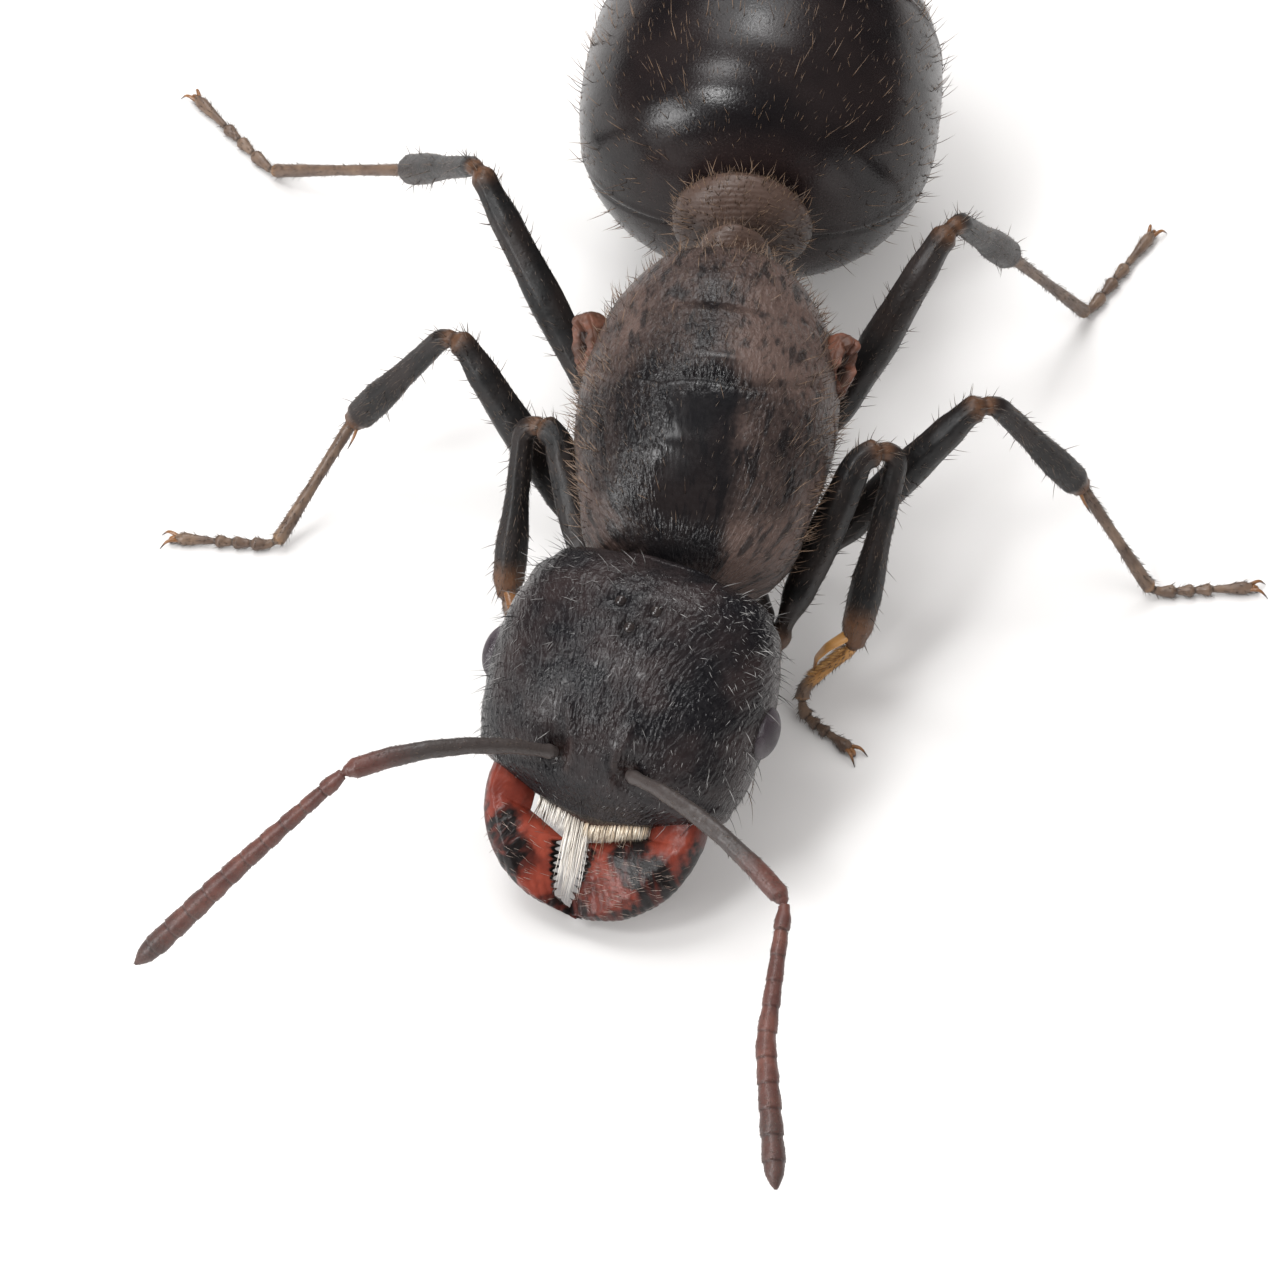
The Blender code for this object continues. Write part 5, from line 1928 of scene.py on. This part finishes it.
@dataclass
class Leg:
    """One leg: hip, trochanter, knee, end of the shin, heel and toe."""

    pair: Pair
    name: str
    corners: tuple[Point, ...]
    number: int
    fold: float = 0.0             # half the width of a folded knee
    golden: bool = False          # whether its comb and heel are golden, not brown

    ANKLE, TOE = 3, 5             # numbers of two joints
    COMB_TEETH = 320
    BEND = 0.30
    CUTS = (3.995, 4.235, 4.42, 4.60)    # where one joint of the foot ends
    GIRTH = (
        (0.00, 0.335), (0.45, 0.325), (0.84, 0.225), (0.93, 0.125), (1.00, 0.165),
        (1.06, 0.165), (1.11, 0.120), (1.28, 0.205), (1.52, 0.238), (1.80, 0.205),
        (1.925, 0.165), (1.965, 0.172), (1.998, 0.105), (2.03, 0.118), (2.09, 0.138),
        (2.40, 0.150), (2.74, 0.205), (2.88, 0.198), (2.97, 0.140), (3.00, 0.070))
    FOOT_GIRTH = (
        (2.985, 0.062), (3.03, 0.078), (3.45, 0.070), (3.88, 0.088), (3.955, 0.094),
        (3.995, 0.044), (4.03, 0.056), (4.19, 0.086), (4.235, 0.044), (4.27, 0.055),
        (4.38, 0.084), (4.42, 0.043), (4.455, 0.055), (4.56, 0.083), (4.60, 0.040),
        (4.68, 0.050), (4.92, 0.082), (4.985, 0.060), (5.00, 0.035))

    def limb(self) -> Limb:
        """The leg's middle line, with its foot laid on the floor.

        Returns:
            The line, with its joints.
        """
        hip, trochanter, knee, ankle, heel, toe = self.corners
        across = (Vector(ankle) - Vector(trochanter)).normalized() * self.fold
        middle = Vector(knee)
        turns = (middle - across, middle + across) if self.fold else (knee,)
        path = Path((hip, trochanter, *turns, ankle, heel, toe), self.BEND)
        inner = tuple(path.nearest(point) for point in (trochanter, knee, ankle, heel))
        return Limb(path, (0.0, *inner, path.length))

    def skins(self, limb: Limb) -> tuple[Skin, Skin]:
        """The leg as far as the shin, and the foot.

        Args:
            limb: the leg's middle line.

        Returns:
            Both skins.
        """
        left = self.number / 6.0
        leg = limb.skin(0.0, 3.0, 420, 40, lambda stage: eased(stage, self.GIRTH),
                        cell=(left + 0.004, 0.0, left + 0.162, 0.68))
        foot = limb.skin(2.985, 5.0, 300, 26, lambda stage: eased(stage, self.FOOT_GIRTH),
                         cell=(left + 0.004, 0.72, left + 0.162, 1.0))
        grain = Grain(90 + self.number)
        stage, angle = leg.own[..., 0], leg.own[..., 1]
        fluted = 0.004 * np.cos(8.0 * angle + 2.0 * grain.at(leg.points, 0.8))
        groove = bell(angle - 1.5 * math.pi, 0.22) * between(stage, 1.35, 1.97, 0.06)
        leg.raise_by(0.009 * grain.at(leg.points, 0.42) + 0.003 * grain.at(leg.points, 0.1)
                     + fluted * (stage > 1.1) - 0.022 * groove)
        warm = (0.75 * bell(stage - 2.0, 0.055) + 0.55 * bell(stage - 1.04, 0.09)
                + 0.85 * ramp(stage, 2.84, 2.98))
        if self.pair is Pair.FORE:
            warm = warm + 0.7 * ramp(stage, 2.70, 2.90)
        leg.marks["mark"] = clamp(warm + 0.12 * grain.layered(leg.points, 0.3))
        # painted shade in the creases at the knee and on either side of the trochanter, and along
        # the groove of the femur
        leg.marks["hollow_shade"] = clamp(0.8 * bell(stage - 1.998, 0.010)
                                    + 0.8 * bell(stage - 0.93, 0.02)
                                    + 0.6 * bell(stage - 1.11, 0.02) + 0.4 * groove)
        foot.raise_by(0.003 * grain.at(foot.points, 0.08))
        stage = foot.own[..., 0]
        gold = 1.0 - ramp(stage, 3.5, 3.9) if self.golden else 0.0 * stage
        foot.marks["mark"] = clamp(0.3 * bell(stage - 3.96, 0.04)
                                   + 0.2 * (1 - ramp(stage, 3.0, 3.2)) + 0.9 * gold)
        # painted shade in the creases between the joints of the foot
        foot.marks["hollow_shade"] = sum(bell(stage - cut, 0.012)
                                   for cut in self.CUTS) * 0.8
        return leg, foot

    @staticmethod
    def _line(limb: Limb, joint: int, shifts: tuple[float, ...]) -> Array:
        """Points of the middle line, some lengths before or after a joint."""
        return limb.path.at(limb.joints[joint] + np.array(shifts))[0]

    def hooks(self, limb: Limb) -> Shape:
        """Two claws with a pad between them, and the thin spur of a middle or hind shin.

        Args:
            limb: the leg's middle line.

        Returns:
            Their faces.
        """
        toe = self._line(limb, self.TOE, (0.0, -0.1))
        ahead = Vector(toe[0] - toe[1]).normalized()
        ahead = Vector((ahead.x, ahead.y, 0.0)).normalized()
        side = Vector((-ahead.y, ahead.x, 0.0))
        end = Vector(toe[0])
        pieces = []
        for sense in (1.0, -1.0):
            root = end - ahead * 0.04 + side * 0.030 * sense
            bow = end + ahead * 0.09 + side * 0.085 * sense + Vector((0.0, 0.0, 0.045))
            point = end + ahead * 0.19 + side * 0.120 * sense
            point.z = 0.006
            pieces.append(spike((root, bow, point), (0.030, 0.004)))
        pad = end + ahead * 0.06
        pieces.append(spike((end, pad, (pad.x, pad.y, 0.02)), (0.035, 0.028), 8))
        if self.pair is not Pair.FORE:
            shin = self._line(limb, self.ANKLE, (0.0, -0.15, 0.35))
            down = Vector(shin[2] - shin[1]).normalized()
            off = down.cross(Vector((0.0, 0.0, 1.0))).normalized()
            inward = off if off.x * self.corners[0][0] < 0.0 else -off
            root = Vector(shin[0]) + inward * 0.10 - down * 0.06
            bow = root + down * 0.15 + inward * 0.06
            pieces.append(spike((root, bow, root + down * 0.32 + inward * 0.09),
                                (0.026, 0.005)))
        return Shape.joined(pieces)

    def cleaner(self, limb: Limb) -> tuple[Shape, Coat]:
        """The broad bowed spur that faces a comb on the heel, which cleans a feeler.

        Args:
            limb: the leg's middle line.

        Returns:
            The spur and the comb.
        """
        points = [Vector(point) for point in
                  self._line(limb, self.ANKLE, (-0.12, 0.0, 0.16, 0.40, 0.62))]
        above = Vector((0.0, 0.0, 1.0))
        down = (points[4] - points[1]).normalized()
        off = (above - down * above.dot(down)).normalized()
        root = points[0] + off * 0.12
        bow = points[2] + off * 0.27
        spur = spike((root, bow, points[3] + off * 0.24, points[4] + off * 0.10),
                     (0.085, 0.020), 40, 18, 0.55)
        comb = Coat(60 + self.number)
        draw = comb.draw
        count = self.COMB_TEETH
        share = draw.uniform(0.02, 0.62, count)
        spine, side, _ = limb.path.at(limb.joints[self.ANKLE] + share)
        sway = draw.normal(0.0, 0.05, (count, 1))
        out = np.broadcast_to(np.array(off), spine.shape)
        flow = np.broadcast_to(np.array(down), spine.shape)
        roots = Roots(spine + 0.055 * out + sway * side, out, flow, side, spine,
                      np.stack((share, np.full(count, 0.5)), axis=-1))
        comb.grow(roots, flow, Hair((0.10, 0.17), 0.0060, (50.0, 75.0), 20.0, 3, 0.12))
        return spur, comb

    def coat(self, leg: Skin, foot: Skin, down: Coat) -> None:
        """Short bristles all along, thicker on the shin and foot.

        Args:
            leg: skin as far as the shin.
            foot: skin of the foot.
            down: takes the hairs.
        """
        down.cover(leg, 1300, Hair((0.05, 0.11), 0.0040, (10.0, 28.0), 12.0),
                   lambda stage, angle, travel: (stage > 0.3)
                   * (0.6 + 0.9 * ramp(stage, 2.0, 2.4)))
        down.cover(leg, 130, Hair((0.12, 0.24), 0.0058, (40.0, 75.0), 20.0, 3, 0.35),
                   lambda stage, angle, travel: (stage > 0.9)
                   * (0.4 + 1.6 * bell(stage - 1.97, 0.1)))
        down.cover(foot, 620, Hair((0.05, 0.10), 0.0042, (18.0, 45.0), 8.0))

    def build(self, bench: Bench, down: Coat) -> None:
        """Make the leg, its foot and its hooks, and grow its hair.

        Args:
            bench: writes the pieces.
            down: takes the hairs.
        """
        limb = self.limb()
        leg, foot = self.skins(limb)
        bench.add("leg_" + self.name, leg.shape(), Finish.LEG, "leg",
                  tuple(part + "_" + self.name for part in ("coxa", "femur", "tibia")))
        bench.add("tarsus_" + self.name, foot.shape(), Finish.FOOT, "foot",
                  tuple(part + "_" + self.name for part in ("metatarsus", "foot")))
        bench.add("claws_" + self.name, self.hooks(limb), Finish.CLAW, "foot")
        if self.pair is Pair.FORE:
            spur, comb = self.cleaner(limb)
            bench.add("spur_" + self.name, spur,
                      Finish.SPUR if self.golden else Finish.CLAW, "leg")
            bench.add("coat_comb_" + self.name, comb.shape(),
                      Finish.COMB_HAIR if self.golden else Finish.GOLD_HAIR, "foot")
        self.coat(leg, foot, down)


@dataclass
class Legs:
    """All six legs and the coat they share."""

    knee_fold: float = 0.26

    SOLE = 0.098                  # height of the foot's middle line over the floor
    STANCES = {
        "fore_left": ((0.62, 0.95, 1.95), (1.00, 0.52, 1.24), (2.20, 2.27, 3.40),
                      (2.02, 1.02, 1.08), (1.20, 0.88, SOLE), (2.10, 0.20, SOLE)),
        "fore_right": ((-0.62, 0.95, 1.95), (-1.00, 0.60, 1.26), (-2.08, 2.54, 3.00),
                       (-2.38, 1.38, 1.00), (-2.00, 0.56, SOLE), (-1.58, -0.42, SOLE)),
        "mid_left": ((0.72, 2.30, 1.75), (1.22, 2.10, 1.16), (3.44, 3.05, 3.74),
                     (4.69, 3.48, 1.69), (5.66, 3.25, SOLE), (6.92, 3.48, SOLE)),
        "mid_right": ((-0.72, 2.30, 1.75), (-1.25, 2.00, 1.16), (-3.33, 3.71, 3.42),
                      (-4.69, 3.76, 1.39), (-5.56, 2.72, SOLE), (-6.85, 2.69, SOLE)),
        "hind_left": ((0.62, 3.70, 1.75), (1.08, 3.80, 1.18), (2.81, 5.08, 4.73),
                      (3.47, 6.91, 2.19), (4.44, 7.99, SOLE), (5.18, 9.54, SOLE)),
        "hind_right": ((-0.62, 3.70, 1.75), (-1.14, 3.78, 1.19), (-3.38, 6.39, 3.58),
                       (-4.63, 8.33, 1.36), (-6.60, 9.31, SOLE), (-7.80, 10.54, SOLE))}

    def build(self, bench: Bench) -> None:
        """Make each leg, then the bristles of all of them.

        Args:
            bench: writes the pieces.
        """
        coat = Coat(97)
        for number, (name, corners) in enumerate(self.STANCES.items()):
            pair = Pair(name.split("_")[0])
            fold = self.knee_fold if pair is Pair.FORE else 0.0
            Leg(pair, name, corners, number, fold, name == "fore_left").build(bench, coat)
        bench.add("coat_legs", coat.shape(), Finish.DARK_HAIR, "leg")


@dataclass
class Feelers:
    """Both antennae and their down."""

    head: Matrix
    socket: Point = (0.48, -1.00, 0.78)
    left: tuple[Point, ...] = ((1.72, -4.20, 2.43), (1.98, -7.54, 1.17))
    right: tuple[Point, ...] = ((-3.70, -3.34, 3.07), (-6.13, -4.81, 0.82))

    def build(self, bench: Bench) -> None:
        """Make both feelers and their coat.

        Args:
            bench: writes the pieces.
        """
        coat = Coat(43)
        for (name, side), (elbow, tip) in zip(SIDES, (self.left, self.right)):
            socket = self.head @ Vector((side * self.socket[0], *self.socket[1:]))
            feeler = Feeler(socket, elbow, tip, 0.11 + 0.07 * side, HALVES[side < 0.0])
            skin = feeler.skin()
            bench.add("antenna_" + name, skin.shape(), Finish.FEELER, "antenna",
                      tuple(part + name for part in ("scape_", "flagellum_inner_",
                                                     "flagellum_outer_")))
            feeler.coat(skin, coat)
        bench.add("coat_antennae", coat.shape(), Finish.DARK_HAIR, "antenna")


@dataclass
class Jaws:
    """Both mandibles and the hairs across them."""

    head: Matrix
    left: tuple[Point, ...] = (
        (0.0, 0.72, -1.40), (0.14, 0.70, -1.68), (0.34, -0.01, -1.95), (0.86, -0.07, -2.62),
        (1.0, -0.05, -2.74))
    right: tuple[Point, ...] = (
        (0.0, 0.80, -1.40), (0.14, 0.80, -1.76), (0.34, 0.30, -1.97), (0.86, 0.23, -2.64),
        (1.0, -0.16, -2.86))
    left_patch: Route = (
        (0.62, -1.78), (0.56, -1.98), (0.80, -2.14), (1.04, -2.02), (1.10, -2.20))
    right_patch: Route = (
        (1.02, -1.94), (0.92, -2.16), (0.72, -2.30), (0.86, -2.52))

    def build(self, bench: Bench) -> None:
        """Make both blades and their coat.

        Args:
            bench: writes the pieces.
        """
        coat = Coat(33)
        for (name, side), inner, patch in zip(SIDES, (self.left, self.right),
                                              (self.left_patch, self.right_patch)):
            jaw = Jaw(self.head, side, inner, patch)
            skin = jaw.skin()
            skin.cell = HALVES[side < 0.0]
            bench.add("jaw_blade_" + name, skin.shape(), Finish.JAW, "mandible",
                      ("mandible_" + name,))
            jaw.coat(skin, coat)
        bench.add("coat_jaws", coat.shape(), Finish.JAW_HAIR, "mandible")


# ---------------- the stage

@dataclass
class Studio:
    """Floor, soft light and the camera."""

    azimuth: float = 6.77
    elevation: float = 49.31
    stand: Point = (7.05, -63.86, 76.86)
    lens: float = 224.5
    floor_side: float = 1.6       # metres
    air: Colour = (1.0, 0.965, 0.95)
    air_strength: float = 0.85

    LAMPS = (                     # what _softbox takes, lamp by lamp
        ("key", (-35.0, -1.0, 106.0), 30.0, 0.030, True),
        ("top", (-35.0, -5.0, 106.0), 44.0, 0.012, False),
        ("face", (-42.0, -50.0, 92.0), 20.0, 0.044, True),
        ("low", (-80.0, -66.0, 42.0), 40.0, 0.066, True),
        ("rear", (-12.0, 66.0, 86.0), 64.0, 0.036, True),
        ("spark", (-8.0, 64.0, 96.0), 14.0, 0.012, True),
        ("overhead", (-42.0, 30.0, 100.0), 90.0, 0.042, False),
        ("fill", (62.0, -30.0, 90.0), 80.0, 0.032, False))

    def build(self, bench: Bench) -> None:
        """Set the whole stage round the ant.

        Args:
            bench: writes the pieces.
        """
        self._floor(bench)
        self._camera(bench)
        self._world()
        for lamp in self.LAMPS:
            self._softbox(bench, *lamp)

    def _floor(self, bench: Bench) -> None:
        """A wide sheet of pale paper at the height of the feet.

        Args:
            bench: hands out the paper.
        """
        half = self.floor_side / 2.0
        mesh = bpy.data.meshes.new("stage_floor")
        mesh.from_pydata([(-half, -half, 0.0), (half, -half, 0.0), (half, half, 0.0),
                          (-half, half, 0.0)], [], [(0, 1, 2, 3)])
        mesh.materials.append(bench.wardrobe.of(Finish.FLOOR))
        floor = bpy.data.objects.new("stage_floor", mesh)
        bpy.context.scene.collection.objects.link(floor)

    def _camera(self, bench: Bench) -> None:
        """A long lens looking down on her from ahead and a little to her left.

        Args:
            bench: knows where the ant's frame stands.
        """
        data = bpy.data.cameras.new("camera")
        data.lens = self.lens
        data.sensor_width = 36.0
        data.clip_start = 0.002
        data.clip_end = 20.0
        camera = bpy.data.objects.new("camera", data)
        a, e = math.radians(self.azimuth), math.radians(self.elevation)
        right = Vector((math.cos(a), math.sin(a), 0.0))
        back = Vector((math.sin(a) * math.cos(e), -math.cos(a) * math.cos(e), math.sin(e)))
        up = back.cross(right)
        turn = Matrix((right, up, back)).transposed().to_4x4()
        turn.translation = (Vector(self.stand) + Vector(bench.shift)) * MM
        camera.matrix_world = turn
        bpy.context.scene.collection.objects.link(camera)
        bpy.context.scene.camera = camera

    def _world(self) -> None:
        """An even white room, which polished shell doesn't mirror."""
        world = bpy.data.worlds.new("white_room")
        scene = bpy.context.scene
        scene.world = world
        scene.view_settings.view_transform = "Standard"
        world.use_nodes = True
        sky = world.node_tree.nodes["Background"]
        sky.inputs["Color"].default_value = (*self.air, 1.0)
        sky.inputs["Strength"].default_value = self.air_strength
        world.cycles_visibility.glossy = False

    @staticmethod
    def _softbox(bench: Bench, name: str, place: Point, size: float, watts: float,
                 mirrored: bool) -> None:
        """Hang one of the lamps as a square that faces the ant.

        Args:
            bench: knows where the ant's frame stands.
            name: its name.
            place: where it hangs, in millimetres.
            size: its side, in millimetres.
            watts: its power.
            mirrored: whether polished shell reflects it.
        """
        data = bpy.data.lights.new(name, "AREA")
        data.shape = "SQUARE"
        data.size = size * MM
        data.energy = watts
        lamp = bpy.data.objects.new(name, data)
        spot = (Vector(place) + Vector(bench.shift)) * MM
        lamp.location = spot
        lamp.rotation_euler = spot.to_track_quat("Z", "Y").to_euler()
        lamp.visible_glossy = mirrored
        bpy.context.scene.collection.objects.link(lamp)


def main() -> None:
    """Build the ant from head to hind body, then her stage."""
    logging.basicConfig(level=logging.INFO, format="%(message)s")
    bench = Bench(Wardrobe())
    head = Head()
    head.build(bench)
    Jaws(head.matrix()).build(bench)
    Feelers(head.matrix()).build(bench)
    Trunk().build(bench)
    Waist().build(bench)
    Gaster().build(bench)
    Legs().build(bench)
    Studio().build(bench)
    log.info("triangles in all: %d", bench.triangles)


if __name__ == "__main__":
    main()
